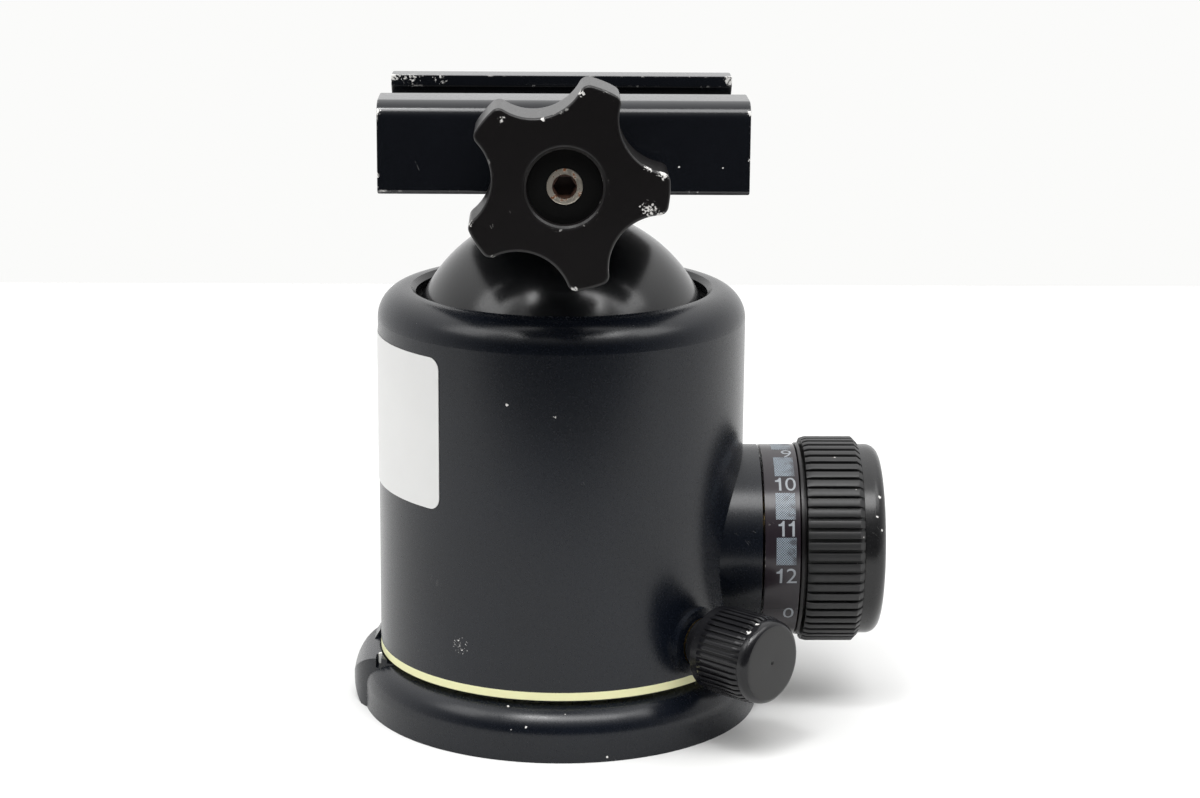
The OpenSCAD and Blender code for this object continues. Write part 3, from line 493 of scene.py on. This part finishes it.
finishes = {
    "body_black": black_coat("body_black", (0.0028, 0.004, 0.0068), 0.26, spots=HOUSING_SPOTS,
                             turned=(1, 0, 0), beyond=33.0, shine=0.36),
    "clamp_black": black_coat("clamp_black", (0.0045, 0.0052, 0.007), 0.16, specks=0.003,
                              spots=CLAMP_SPOTS, shine=0.4),
    "knob_black": black_coat("knob_black", (0.0046, 0.004, 0.0042), 0.33, grain=3200.0,
                             depth=4e-6, edge=(0.58, 0.72), spots=KNOB_SPOTS, shine=0.32),
    "pan_black": black_coat("pan_black", (0.006, 0.006, 0.007), 0.2, depth=6e-7, shine=0.33,
                            spots=((32.6, -34.2, 24.4, 0.5, 0.4), (31.1, -35.7, 23.5, 0.5, 0.4)),
                            face=(PAN_AXIS, 49.0, (0.022, 0.022, 0.022), 0.52)),
    "ball_black": black_coat("ball_black", (0.006, 0.0065, 0.0075), 0.2, depth=3e-7,
                             specks=0.002, scratches=0.2, shine=0.45),
    "cap_black": black_coat("cap_black", (0.007, 0.007, 0.0075), 0.24, depth=4e-7, specks=0.01,
                            shine=0.4, spots=((55.3, -12.3, 40.3, 0.35, 0.4),
                                              (54.6, -14.7, 37.4, 0.3, 0.4),
                                              (55.4, -15.3, 35.2, 0.3, 0.4))),
    "dial_plum": black_coat("dial_plum", (0.014, 0.0105, 0.0135), 0.2, depth=4e-7, specks=0.004,
                            bare=(0.5, 0.47, 0.46), turned=(1, 0, 0), shine=0.38),
}
print("black coats:", sorted(finishes))

# %% [markdown]
# ## Other finishes
# Rubber and moulded plastic are rough dielectrics with a little grain. Steel, brass and bare
# aluminium are metals with fine turned lines, which run round a part's axis. The paper label
# has a faint fibre.

# %% Moulded and rubber finishes
DUST = (0.4, 0.38, 0.36)

def moulded(name, colour, rough, lighter=1.15, grain=2000.0, depth=4e-6, dust=0.0, shine=0.5):
    """A grained, faintly clouded surface. `dust` is the share of it that holds pale specks."""
    finish, tree, skin = start_finish(name, colour, rough)
    skin.inputs["Specular IOR Level"].default_value = shine
    place = object_place(tree)
    fine = use_group(tree, grain_group, Scale=grain, Detail=4.0)
    cloud = noise_node(tree, place, scale=90.0, detail=4.0)
    tone = clouded(tree, colour, cloud, 0.3, 0.7, lighter)
    if dust:
        specks = use_group(tree, specks_group, Scale=900.0, Share=dust, Size=0.25)
        tone = blend_colour(tree, specks, tone, DUST)
    tree.links.new(tone, skin.inputs["Base Color"])
    tree.links.new(blend_value(tree, fine, rough - 0.05, rough + 0.07), skin.inputs["Roughness"])
    bump(tree, skin, fine, strength=0.5, depth=depth)
    return finish

finishes.update({
    "rubber_grip": moulded("rubber_grip", (0.012, 0.012, 0.0125), 0.45, dust=0.02, depth=6e-6,
                           shine=0.42),
    "seal_rubber": moulded("seal_rubber", (0.012, 0.012, 0.012), 0.7),
    "insert_black": moulded("insert_black", (0.0025, 0.0025, 0.0025), 0.5, shine=0.1),
    "pale_ring": moulded("pale_ring", (0.70, 0.69, 0.40), 0.5, lighter=1.05, dust=0.01),
    "white_mark": moulded("white_mark", (0.8, 0.8, 0.77), 0.55, lighter=1.05),
    "polymer": moulded("polymer", (0.80, 0.79, 0.73), 0.4, lighter=1.05),
})
print("moulded finishes:", len(finishes))

# %% Metals
RUST = (0.14, 0.055, 0.022)
# painted shade: the flat dark brown that fills the key hole of the screw
SOCKET_PAINTED_SHADE = (0.028, 0.012, 0.007)

def turned_metal(name, colour, rough, along=(0, 0, 1), rust=0.0, socket=None):
    """Bare metal with lines left by the lathe, in rings about the axis `along`. `socket` is the
    centre and radius, in millimetres, of a key hole along Y, which is painted dark as shade."""
    finish, tree, skin = start_finish(name, colour, rough)
    skin.inputs["Metallic"].default_value = 1
    place = object_place(tree)
    lines = turned_lines(tree, along, 6000.0)
    stain = noise_node(tree, place, scale=260.0, detail=4.0)
    tone = clouded(tree, colour, stain, 0.35, 0.7, 0.86)
    if rust:
        bloom = noise_node(tree, place, scale=1400.0, detail=4.0)
        spots = ramp_node(tree, bloom, 0.62 - rust, 0.72 - rust)
        tone = blend_colour(tree, spots, tone, RUST)
        if socket:
            flat = new_node(tree, "ShaderNodeVectorMath", operation="MULTIPLY")
            flat.inputs[1].default_value = (1, 0, 1)
            tree.links.new(place, flat.inputs[0])
            gap = new_node(tree, "ShaderNodeVectorMath", operation="DISTANCE")
            tree.links.new(flat.outputs[0], gap.inputs[0])
            gap.inputs[1].default_value = tuple(v * MM for v in socket[0])
            inside = math_node(tree, "LESS_THAN", gap.outputs["Value"], socket[1] * MM)
            # painted shade: inside the key hole the colour is a flat dark brown, with no metal
            tone = blend_colour(tree, inside, tone, SOCKET_PAINTED_SHADE)
            spots = math_node(tree, "MAXIMUM", spots, inside)
        tree.links.new(math_node(tree, "SUBTRACT", 1.0, spots), skin.inputs["Metallic"])
    tree.links.new(tone, skin.inputs["Base Color"])
    tree.links.new(blend_value(tree, lines, rough - 0.07, rough + 0.1), skin.inputs["Roughness"])
    bump(tree, skin, lines, strength=0.4, depth=1.5e-6)
    return finish

finishes.update({
    "steel": turned_metal("steel", (0.56, 0.56, 0.55), 0.32),
    "screw_steel": turned_metal("screw_steel", (0.86, 0.79, 0.68), 0.36, (0, 1, 0), rust=0.05,
                                socket=((0, 0, 99.7), 1.95)),
    "inner_alu": turned_metal("inner_alu", (0.74, 0.74, 0.75), 0.34),
    "brass": turned_metal("brass", (0.76, 0.57, 0.27), 0.28),
})
print("metals done, finishes:", len(finishes))

# %% Paper
def paper(name, colour):
    finish, tree, skin = start_finish(name, colour, 0.45)
    place = object_place(tree)
    fibre = noise_node(tree, place, scale=1200.0, detail=6.0, rough=0.7)
    cloud = noise_node(tree, place, scale=60.0, detail=3.0)
    tone = clouded(tree, colour, cloud, 0.3, 0.75, 0.965)
    tree.links.new(tone, skin.inputs["Base Color"])
    tree.links.new(blend_value(tree, fibre, 0.38, 0.56), skin.inputs["Roughness"])
    bump(tree, skin, fibre, strength=0.35, depth=6e-6)
    return finish

finishes["label_paper"] = paper("label_paper", (0.62, 0.62, 0.612))
print("paper is ready")

# %% [markdown]
# ## Print on the graduated ring
# The numbers are filled with a pale grey paint. Between them lie bars of a halftone, a fine
# diagonal check that reads as a grey tint from a distance.

# %% Dial print
def print_paint(name, colour, dark=None, pitch=0.42):
    """Worn paint. With `dark` it is a check of two colours, a pitch in millimetres apart, that
    is darker in patches, and the more so towards the grip."""
    finish, tree, skin = start_finish(name, colour, 0.42)
    place = new_node(tree, "ShaderNodeTexCoord")
    worn = noise_node(tree, place.outputs["Object"], scale=2200.0, detail=4.0, rough=0.6)
    tone = clouded(tree, colour, worn, 0.35, 0.75, 0.8)
    if dark:
        check = new_node(tree, "ShaderNodeTexChecker")
        check.inputs["Scale"].default_value = 2.0 / pitch
        tree.links.new(place.outputs["UV"], check.inputs["Vector"])
        tone = blend_colour(tree, check.outputs["Fac"], tone, dark)
        across = new_node(tree, "ShaderNodeSeparateXYZ")
        tree.links.new(place.outputs["UV"], across.inputs[0])
        patches = noise_node(tree, place.outputs["Object"], scale=900.0, detail=3.0)
        lean = math_node(tree, "MULTIPLY", across.outputs["X"], 0.12)
        ink = ramp_node(tree, math_node(tree, "ADD", lean, patches), 0.5, 0.85)
        tone = blend_colour(tree, math_node(tree, "MULTIPLY", ink, 0.8), tone, dark)
    tree.links.new(tone, skin.inputs["Base Color"])
    tree.links.new(blend_value(tree, worn, 0.34, 0.5), skin.inputs["Roughness"])
    bump(tree, skin, worn, strength=0.3, depth=1.5e-6)
    return finish

finishes["number_paint"] = print_paint("number_paint", (0.28, 0.30, 0.325))
finishes["halftone"] = print_paint("halftone", (0.27, 0.33, 0.38), (0.022, 0.018, 0.024))
print("print on the ring is ready")

# %% Give every CAD node its finish
for node in frame["nodes"].values():
    slot_name = node.data.materials[0].name.split(".")[0]
    node.data.materials[0] = finishes[slot_name]
print("finishes given to", len(frame["nodes"]), "CAD nodes")

# %% [markdown]
# ## Softened edges
# A CAD edge is perfectly sharp, which no machined part is: its edges are broken by a file or a
# tumbler, and they catch the light and lose their coat first. A copy of the CAD mesh is merged
# and gets a narrow bevel on every sharp outer edge. The points in the middle of the bevel carry
# an attribute, edge, which the finishes read to rub the coat through.

# %% Soften
WELD = 2e-6
FLAT = math.radians(0.4)
SHARP = math.radians(28)
CREASE = math.radians(45)

def to_mesh(name, made):
    """Turns a bmesh into a mesh and frees it."""
    mesh = bpy.data.meshes.new(name)
    made.to_mesh(mesh)
    made.free()
    return mesh

def take_mesh(helper):
    """The finished mesh of a helper object, which is then removed."""
    mesh = bpy.data.meshes.new_from_object(
        helper.evaluated_get(bpy.context.evaluated_depsgraph_get()))
    bpy.data.objects.remove(helper)
    return mesh

def link_piece(name, mesh, body, slot, *replaced):
    """Makes an object of a mesh, gives it a finish and hands it to the frame."""
    piece = new_object(name, mesh)
    if not mesh.materials:
        mesh.materials.append(finishes[slot])
    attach(piece, body)
    if replaced:
        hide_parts(*replaced)
    return piece

def body_of(node):
    return frame["nodes"][node]["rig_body"]

def mark_edges(mesh, marked):
    values = mesh.attributes.new("edge", "FLOAT", "POINT")
    values.data.foreach_set("value", [1.0 if i in marked else 0.0
                                      for i in range(len(mesh.vertices))])

def even_normals(name, mesh):
    """Smooth shading that keeps big flat faces flat beside narrow bevels."""
    mesh.shade_smooth()
    mesh.set_sharp_from_angle(angle=CREASE)
    helper = new_object(name, mesh)
    weigh = helper.modifiers.new("weigh", "WEIGHTED_NORMAL")
    weigh.keep_sharp = True
    ready = take_mesh(helper)
    ready.name = name
    return ready

def soften(node, slot, width, segments):
    """A copy of a CAD node with its sharp outer edges bevelled by width, in metres."""
    made = bmesh.new()
    made.from_mesh(frame["nodes"][node].data)
    bmesh.ops.remove_doubles(made, verts=made.verts, dist=WELD)
    bmesh.ops.dissolve_limit(made, angle_limit=FLAT, verts=made.verts, edges=made.edges)
    sharp = [e for e in made.edges if len(e.link_faces) == 2 and e.is_convex
             and e.calc_face_angle() > SHARP]
    cut = bmesh.ops.bevel(made, geom=sharp, offset=width, segments=segments, profile=0.6,
                          affect="EDGES", clamp_overlap=False)
    new_faces = set(cut["faces"])
    made.verts.index_update()
    worn = {v.index for v in made.verts if all(f in new_faces for f in v.link_faces)}
    mesh = to_mesh(node + "_soft", made)
    if "custom_normal" in mesh.attributes:
        mesh.attributes.remove(mesh.attributes["custom_normal"])
    mark_edges(mesh, worn)
    mesh = even_normals(node + "_soft", mesh)
    return link_piece(node + "_soft", mesh, body_of(node), slot, node)

# node, slot, width in millimetres, segments
BEVELS = (("clamp_base", "clamp_black", 0.28, 2), ("moving_jaw", "clamp_black", 0.28, 2),
          ("clamp_knob", "knob_black", 0.6, 4), ("knob_core", "knob_black", 0.1, 2),
          ("scale_ring", "dial_plum", 0.12, 2), ("clamp_screw", "screw_steel", 0.15, 2))
for node, slot, width, segments in BEVELS:
    softened = soften(node, slot, width * MM, segments)
    print(node, "softened:", len(softened.data.polygons), "faces")

# %% [markdown]
# ## Two knobs with ribs
# A knob turns about its own axis, so it is easiest to make upright, round the local Z axis, and
# to stand in its place by one matrix at the end. The plain body is an outline spun round the
# axis. The ribs repeat by a rule, so Geometry Nodes make them: one rib is a rounded bar with
# chamfered ends, and it is placed as often as there are ribs.

# %% Turned blanks
def rounded(corners, steps=5):
    """The outline through (along, radius, rounding) corners, with each corner rounded off."""
    outline = []
    for i, (along, radius, bend) in enumerate(corners):
        here = Vector((along, radius))
        if not bend:
            outline.append((along, radius))
            continue
        back = (Vector(corners[i - 1][:2]) - here).normalized()
        on = (Vector(corners[(i + 1) % len(corners)][:2]) - here).normalized()
        half = back.angle(on) / 2
        centre = here + (back + on).normalized() * bend / math.sin(half)
        reach = bend / math.tan(half)
        for step in range(steps + 1):
            spoke = (here + back * reach - centre).lerp(here + on * reach - centre, step / steps)
            outline.append(tuple(centre + spoke.normalized() * bend))
    return outline

def lathe(name, outline, around):
    """Spins a closed outline of (along, radius) in millimetres round the local Z axis."""
    made = bmesh.new()
    turns = [(math.cos(2 * math.pi * i / around), math.sin(2 * math.pi * i / around))
             for i in range(around)]
    rings = []
    for along, radius in outline:
        spots = turns if radius > 1e-6 else turns[:1]
        rings.append([made.verts.new((radius * MM * c, radius * MM * s, along * MM))
                      for c, s in spots])
    for one, two in zip(rings, rings[1:] + rings[:1]):
        for i in range(around):
            j = (i + 1) % around
            corners = [one[i % len(one)], one[j % len(one)], two[j % len(two)], two[i % len(two)]]
            corners = list(dict.fromkeys(corners))
            if len(corners) > 2:
                made.faces.new(corners)
    bmesh.ops.recalc_face_normals(made, faces=made.faces)
    return to_mesh(name, made)

def stand_on(axis, origin):
    """The matrix that stands local Z along a level axis, with local Y pointing down."""
    along = Vector(axis).normalized()
    side = along.cross(Vector((0, 0, 1)))
    turn = Matrix((side, along.cross(side), along)).transposed().to_4x4()
    return Matrix.Translation(Vector(origin) * MM) @ turn

LOCK_Z = 29.2
PAN_Z = 17.44
lock_place = stand_on((1, 0, 0), (0, 0, LOCK_Z))
pan_place = stand_on(PAN_AXIS, (0, 0, PAN_Z))
print("knob axes are set")

# %% Geometry Nodes: ribs round a blank
def build_ribs_tree():
    tree = bpy.data.node_groups.new("ribs", "GeometryNodeTree")
    for title, kind in (("Blank", "Geometry"), ("Ribs", "Int"), ("Tip Radius", "Float"),
                        ("Root Radius", "Float"), ("Rib Width", "Float"), ("Corner", "Float"),
                        ("Start", "Float"), ("End", "Float"), ("Start Chamfer", "Float"),
                        ("End Chamfer", "Float"), ("Finish", "Material")):
        tree.interface.new_socket(title, in_out="INPUT", socket_type="NodeSocket" + kind)
    tree.interface.new_socket("Geometry", in_out="OUTPUT", socket_type="NodeSocketGeometry")
    given = new_node(tree, "NodeGroupInput").outputs
    link = tree.links.new

    def point(x=0.0, z=0.0):
        node = new_node(tree, "ShaderNodeCombineXYZ")
        feed(tree, node.inputs["X"], x)
        feed(tree, node.inputs["Z"], z)
        return node.outputs[0]

    # one rib: a rounded bar along Z
    line = new_node(tree, "GeometryNodeCurvePrimitiveLine")
    link(point(z=given["Start"]), line.inputs["Start"])
    link(point(z=given["End"]), line.inputs["End"])
    steps = new_node(tree, "GeometryNodeResampleCurve")
    steps.inputs["Count"].default_value = 12
    link(line.outputs[0], steps.inputs["Curve"])
    height = math_node(tree, "SUBTRACT", given["Tip Radius"], given["Root Radius"])
    shape = new_node(tree, "GeometryNodeCurvePrimitiveQuadrilateral")
    link(height, shape.inputs["Width"])
    link(given["Rib Width"], shape.inputs["Height"])
    bend = new_node(tree, "GeometryNodeFilletCurve", mode="POLY")
    bend.inputs["Count"].default_value = 2
    link(shape.outputs[0], bend.inputs["Curve"])
    link(given["Corner"], bend.inputs["Radius"])
    bar = new_node(tree, "GeometryNodeCurveToMesh")
    bar.inputs["Fill Caps"].default_value = True
    link(steps.outputs[0], bar.inputs["Curve"])
    link(bend.outputs[0], bar.inputs["Profile Curve"])

    # out to its radius, with the top lowered towards either end
    place = new_node(tree, "ShaderNodeSeparateXYZ")
    link(new_node(tree, "GeometryNodeInputPosition").outputs[0], place.inputs[0])
    share = math_node(tree, "ADD", math_node(tree, "DIVIDE", place.outputs["X"], height), 0.5)
    drop = math_node(tree, "MAXIMUM",
                     math_node(tree, "SUBTRACT", given["Start Chamfer"],
                               math_node(tree, "SUBTRACT", place.outputs["Z"], given["Start"])),
                     math_node(tree, "SUBTRACT", given["End Chamfer"],
                               math_node(tree, "SUBTRACT", given["End"], place.outputs["Z"])))
    drop = math_node(tree, "MULTIPLY", math_node(tree, "MAXIMUM", drop, 0.0), share)
    middle = math_node(tree, "MULTIPLY",
                       math_node(tree, "ADD", given["Tip Radius"], given["Root Radius"]), 0.5)
    lift = new_node(tree, "GeometryNodeSetPosition")
    link(bar.outputs[0], lift.inputs["Geometry"])
    link(point(x=math_node(tree, "SUBTRACT", middle, drop)), lift.inputs["Offset"])

    # as many as asked for, evenly round the axis
    spots = new_node(tree, "GeometryNodePoints")
    link(given["Ribs"], spots.inputs["Count"])
    turn = math_node(tree, "MULTIPLY", new_node(tree, "GeometryNodeInputIndex").outputs[0],
                     math_node(tree, "DIVIDE", 2 * math.pi, given["Ribs"]))
    copies = new_node(tree, "GeometryNodeInstanceOnPoints")
    link(spots.outputs[0], copies.inputs["Points"])
    link(lift.outputs[0], copies.inputs["Instance"])
    link(point(z=turn), copies.inputs["Rotation"])
    both = new_node(tree, "GeometryNodeJoinGeometry")
    link(given["Blank"], both.inputs[0])
    link(copies.outputs[0], both.inputs[0])
    real = new_node(tree, "GeometryNodeRealizeInstances")
    link(both.outputs[0], real.inputs[0])
    dress = new_node(tree, "GeometryNodeSetMaterial")
    link(real.outputs[0], dress.inputs["Geometry"])
    link(given["Finish"], dress.inputs["Material"])
    out = new_node(tree, "NodeGroupOutput")
    link(dress.outputs[0], out.inputs[0])
    return tree

ribs_tree = build_ribs_tree()
print("ribs tree:", len(ribs_tree.nodes), "nodes")

# %% Ribbed knobs
def add_ribs(name, blank, place, slot, finish, replaced, ribs, **lengths):
    """Adds ribs to a turned blank, stands the result in its place and makes a piece of it.
    The lengths are in millimetres, and each is named as the tree's input is."""
    helper = new_object(name, blank)
    modifier = helper.modifiers.new("ribs", "NODES")
    modifier.node_group = ribs_tree
    values = {title: length * MM for title, length in lengths.items()}
    values.update(ribs=ribs, finish=finishes[finish])
    for socket in ribs_tree.interface.items_tree:
        title = socket.name.replace(" ", "_").lower()
        if title in values:
            modifier[socket.identifier] = values[title]
    mesh = take_mesh(helper)
    mesh.name = name
    mesh.transform(place)
    mesh.shade_smooth()
    mesh.set_sharp_from_angle(angle=math.radians(38))
    return link_piece(name, mesh, body_of(replaced), slot, replaced)

# first the places along the knob's axis, then the radii, in millimetres
GRIP_START, GRIP_SHOULDER, GRIP_END = 42.6, 51.9, 52.5
GRIP_BORE, GRIP_RIM, GRIP_BODY = 15.3, 16.9, 17.55
grip_blank = lathe("grip_blank", rounded((
    (GRIP_START, GRIP_BORE, 0), (GRIP_START, GRIP_BODY, 0.2), (GRIP_SHOULDER, GRIP_BODY, 0.2),
    (GRIP_END, GRIP_RIM, 0.15), (GRIP_END, GRIP_BORE, 0))), around=180)
grip = add_ribs("ribbed_grip", grip_blank, lock_place, "rubber_grip", "rubber_grip",
                "rubber_grip", ribs=60, tip_radius=18.2, root_radius=17.2, rib_width=1.24,
                corner=0.14, start=GRIP_START, end=GRIP_END, start_chamfer=0.25,
                end_chamfer=0.9)

PAN_START, PAN_COLLAR, PAN_RIBS = 33.45, 36.6, 38.3
PAN_BORE_END, PAN_CAP, PAN_END = 45.2, 47.2, 49.1
PAN_BORE, PAN_NECK, PAN_BODY, PAN_CAP_R = 2.5, 4.4, 7.1, 7.2
pan_blank = lathe("pan_blank", rounded((
    (PAN_START, PAN_BORE, 0), (PAN_START, PAN_NECK, 0.2), (PAN_COLLAR, PAN_NECK, 0),
    (PAN_COLLAR, PAN_BODY, 0.25), (PAN_CAP, PAN_BODY, 0), (PAN_CAP, PAN_CAP_R, 0.05),
    (PAN_END, PAN_CAP_R, 1.25), (PAN_END, 0.42, 0.08), (48.9, 0.2, 0), (48.85, 0, 0),
    (PAN_BORE_END, 0, 0), (PAN_BORE_END, PAN_BORE, 0))), around=128)
pan_knob = add_ribs("knurled_pan_knob", pan_blank, pan_place, "knob_black", "pan_black",
                    "pan_lock_knob", ribs=40, tip_radius=7.5, root_radius=6.9, rib_width=0.72,
                    corner=0.1, start=PAN_RIBS, end=PAN_CAP, start_chamfer=0.3,
                    end_chamfer=0.3)
for piece in (grip, pan_knob):
    print(piece.name, len(piece.data.polygons), "faces")

# %% [markdown]
# ## Numbers and halftone bars on the ring
# The ring carries the numbers 0 to 12, read from the front with their tops up. A text object
# gives each digit its shape, apart from the 1, whose plain flag is drawn as an outline. A number
# becomes a mesh first, is cut into narrow strips, and then each point is wrapped round the
# ring, so that the flat figure follows the curve. The bars are thin slabs wrapped in the same
# way, and beyond the 9 they get shorter towards the low numbers.

# %% Wrap on the ring
RING_R = 16.8
RAISED, SUNK = 0.025, -0.02

def wrap(verts, along, angle):
    """Flat (u, v, w) in millimetres to the ring: u along its axis, v round it, w outwards."""
    for vert in verts:
        u, v, w = vert.co
        turn = angle + v / RING_R
        reach = RING_R + w
        vert.co = ((along + u) * MM, -reach * math.cos(turn) * MM,
                   (LOCK_Z + reach * math.sin(turn)) * MM)

FIGURE_H = 2.7
ONE_W, DIGIT_W, DIGIT_GAP = 0.38, 0.67, 0.27
ONE = ((ONE_W, 0), (ONE_W, 1), (0.28, 1), (0.2, 0.87), (0.1, 0.8), (0, 0.78), (0, 0.67),
       (0.23, 0.67), (0.23, 0))
THINNER = -0.006
STRIP, BAR_STRIP = 0.3, 0.35

def figure_mesh(digit):
    """One digit as a closed slab 1 high, with its foot and its left side at 0. Its width and
    the gap after it are shares of the height."""
    made = bmesh.new()
    if digit == "1":
        front = made.faces.new([made.verts.new((x, y, 1)) for x, y in ONE])
        sides = bmesh.ops.extrude_face_region(made, geom=[front])
        for vert in sides["geom"]:
            if isinstance(vert, bmesh.types.BMVert):
                vert.co.z = -1
        return made
    curve = bpy.data.curves.new("figure_" + digit, "FONT")
    curve.body = digit
    curve.extrude = 0.5
    curve.offset = THINNER
    made.from_mesh(take_mesh(new_object("figure_" + digit, curve)))
    bmesh.ops.remove_doubles(made, verts=made.verts, dist=1e-5)
    low = Vector([min(v.co[i] for v in made.verts) for i in range(3)])
    high = Vector([max(v.co[i] for v in made.verts) for i in range(3)])
    for vert in made.verts:
        vert.co = ((vert.co.x - low.x) / (high.x - low.x) * DIGIT_W,
                   (vert.co.y - low.y) / (high.y - low.y), 1 if vert.co.z > 0 else -1)
    return made

def absorb(whole, part):
    """Adds the faces of part to whole, and frees part."""
    loose = to_mesh("loose", part)
    whole.from_mesh(loose)
    bpy.data.meshes.remove(loose)

def number_mesh(text):
    """A number in millimetres, centred, cut into low strips so that it can bend."""
    whole = bmesh.new()
    pen = 0.0
    for digit in text:
        figure = figure_mesh(digit)
        for vert in figure.verts:
            vert.co = ((pen + vert.co.x) * FIGURE_H, (vert.co.y - 0.5) * FIGURE_H,
                       RAISED if vert.co.z > 0 else SUNK)
        absorb(whole, figure)
        pen += (ONE_W if digit == "1" else DIGIT_W) + DIGIT_GAP
    for vert in whole.verts:
        vert.co.x -= (pen - DIGIT_GAP) * FIGURE_H / 2
    for cut in range(-4, 5):
        bmesh.ops.bisect_plane(whole, geom=whole.verts[:] + whole.edges[:] + whole.faces[:],
                               plane_co=(0, cut * STRIP, 0), plane_no=(0, 1, 0))
    return whole

def close_strips(made, rings):
    """Faces between one ring of four points and the next, and over both ends."""
    for one, two in zip(rings, rings[1:]):
        for i in range(4):
            made.faces.new((one[i], two[i], two[(i + 1) % 4], one[(i + 1) % 4]))
    made.faces.new(rings[0])
    made.faces.new(rings[-1][::-1])

def bar_mesh(width, height):
    """A thin slab of strips with its own map in millimetres. It stands a little lower than the
    numbers do."""
    made = bmesh.new()
    chart = made.loops.layers.uv.new("map")
    rows = max(2, round(height / BAR_STRIP))
    side, top = width / 2, RAISED * 0.8
    rings = []
    for row in range(rows + 1):
        v = (row / rows - 0.5) * height
        rings.append([made.verts.new((u, v, w)) for u, w in (
            (-side, SUNK), (-side, top), (side, top), (side, SUNK))])
    close_strips(made, rings)
    for face in made.faces:
        for loop in face.loops:
            loop[chart].uv = (loop.vert.co.x, loop.vert.co.y)
    return made

def sort_by_place(cells, place):
    order = {cell: i for i, cell in enumerate(sorted(cells, key=lambda c: tuple(place(c))))}
    cells.sort(key=order.get)

def join_parts(name, parts):
    """One mesh of several parts. The cuts leave points and faces in an order that changes from
    run to run, so they are sorted."""
    whole = bmesh.new()
    for part in parts:
        bmesh.ops.recalc_face_normals(part, faces=part.faces)
        absorb(whole, part)
    sort_by_place(whole.verts, lambda vert: vert.co)
    sort_by_place(whole.faces, lambda face: face.calc_center_median())
    return to_mesh(name, whole)

print("wrapping tools are ready")

# %% Numbers and bars
STEP = 27.43
# for each number, its place along the ring's axis in millimetres and its angle in degrees
NUMBERS = {0: (39.7, -34.6), 12: (39.0, -6.5), 11: (38.9, 22.0), 10: (38.95, 50.4),
           9: (39.6, 78.5)}
for low in range(8, 0, -1):
    NUMBERS[low] = (39.65, 78.5 + (9 - low) * STEP)

figures = []
for number, (along, angle) in NUMBERS.items():
    figure = number_mesh(str(number))
    wrap(figure.verts, along, math.radians(angle))
    figures.append(figure)
numbers_mesh = join_parts("dial_numbers", figures)
numbers_mesh.materials.append(finishes["number_paint"])
link_piece("dial_numbers", numbers_mesh, body_of("scale_ring"), "white_mark")

BAR_W = 3.45
# for each bar, the same two and its height
BARS = [(38.88, 8.5, 4.78), (38.8, 35.8, 4.9), (38.9, 65.0, 5.1)]
BARS += [(38.9, 92.2 + STEP * i, 4.6 - 0.55 * i) for i in range(7)]
slabs = []
for along, angle, height in BARS:
    slab = bar_mesh(BAR_W, height)
    wrap(slab.verts, along, math.radians(angle))
    slabs.append(slab)
bars_mesh = join_parts("dial_halftone", slabs)
bars_mesh.materials.append(finishes["halftone"])
link_piece("dial_halftone", bars_mesh, body_of("scale_ring"), "white_mark")
print("numbers:", len(numbers_mesh.polygons), "faces, bars:", len(bars_mesh.polygons), "faces")

# %% [markdown]
# ## Paper label
# A blank paper label lies on the housing's far left side. It is a thin sheet with rounded
# corners, so it is built as a row of upright strips: the first and last few are shorter, by
# the height of a quarter circle at that place.

# %% Label
CORNER_STRIPS, FLAT_STRIPS = 8, 32

def label_mesh(inner, outer, start, width, low, high, corner):
    """A thin sheet round the Z axis, in millimetres. It runs anticlockwise, seen from above,
    from the angle start, which is in degrees."""
    places = [corner * (1 - math.cos(math.pi / 2 * i / CORNER_STRIPS))
              for i in range(CORNER_STRIPS)]
    flat = [corner + (width - 2 * corner) * i / FLAT_STRIPS for i in range(FLAT_STRIPS + 1)]
    places = places + flat + [width - s for s in reversed(places)]
    made = bmesh.new()
    strips = []
    for s in places:
        near = max(0.0, corner - min(s, width - s))
        inset = corner - math.sqrt(max(0.0, corner ** 2 - near ** 2))
        turn = math.radians(start) + s / inner
        strips.append([made.verts.new((radius * math.cos(turn) * MM, radius * math.sin(turn) * MM,
                                       z * MM))
                       for radius, z in ((inner, low + inset), (outer, low + inset),
                                         (outer, high - inset), (inner, high - inset))])
    close_strips(made, strips)
    bmesh.ops.recalc_face_normals(made, faces=made.faces)
    mesh = to_mesh("rounded_label", made)
    mesh.shade_smooth()
    mesh.set_sharp_from_angle(angle=math.radians(40))
    return mesh

label_sheet = label_mesh(inner=32.12, outer=32.25, start=-212.1, width=46, low=41.24,
                         high=67.44, corner=2.1)
label = link_piece("rounded_label", label_sheet, body_of("paper_label"), "label_paper",
                   "paper_label")
print("label:", len(label.data.polygons), "faces")
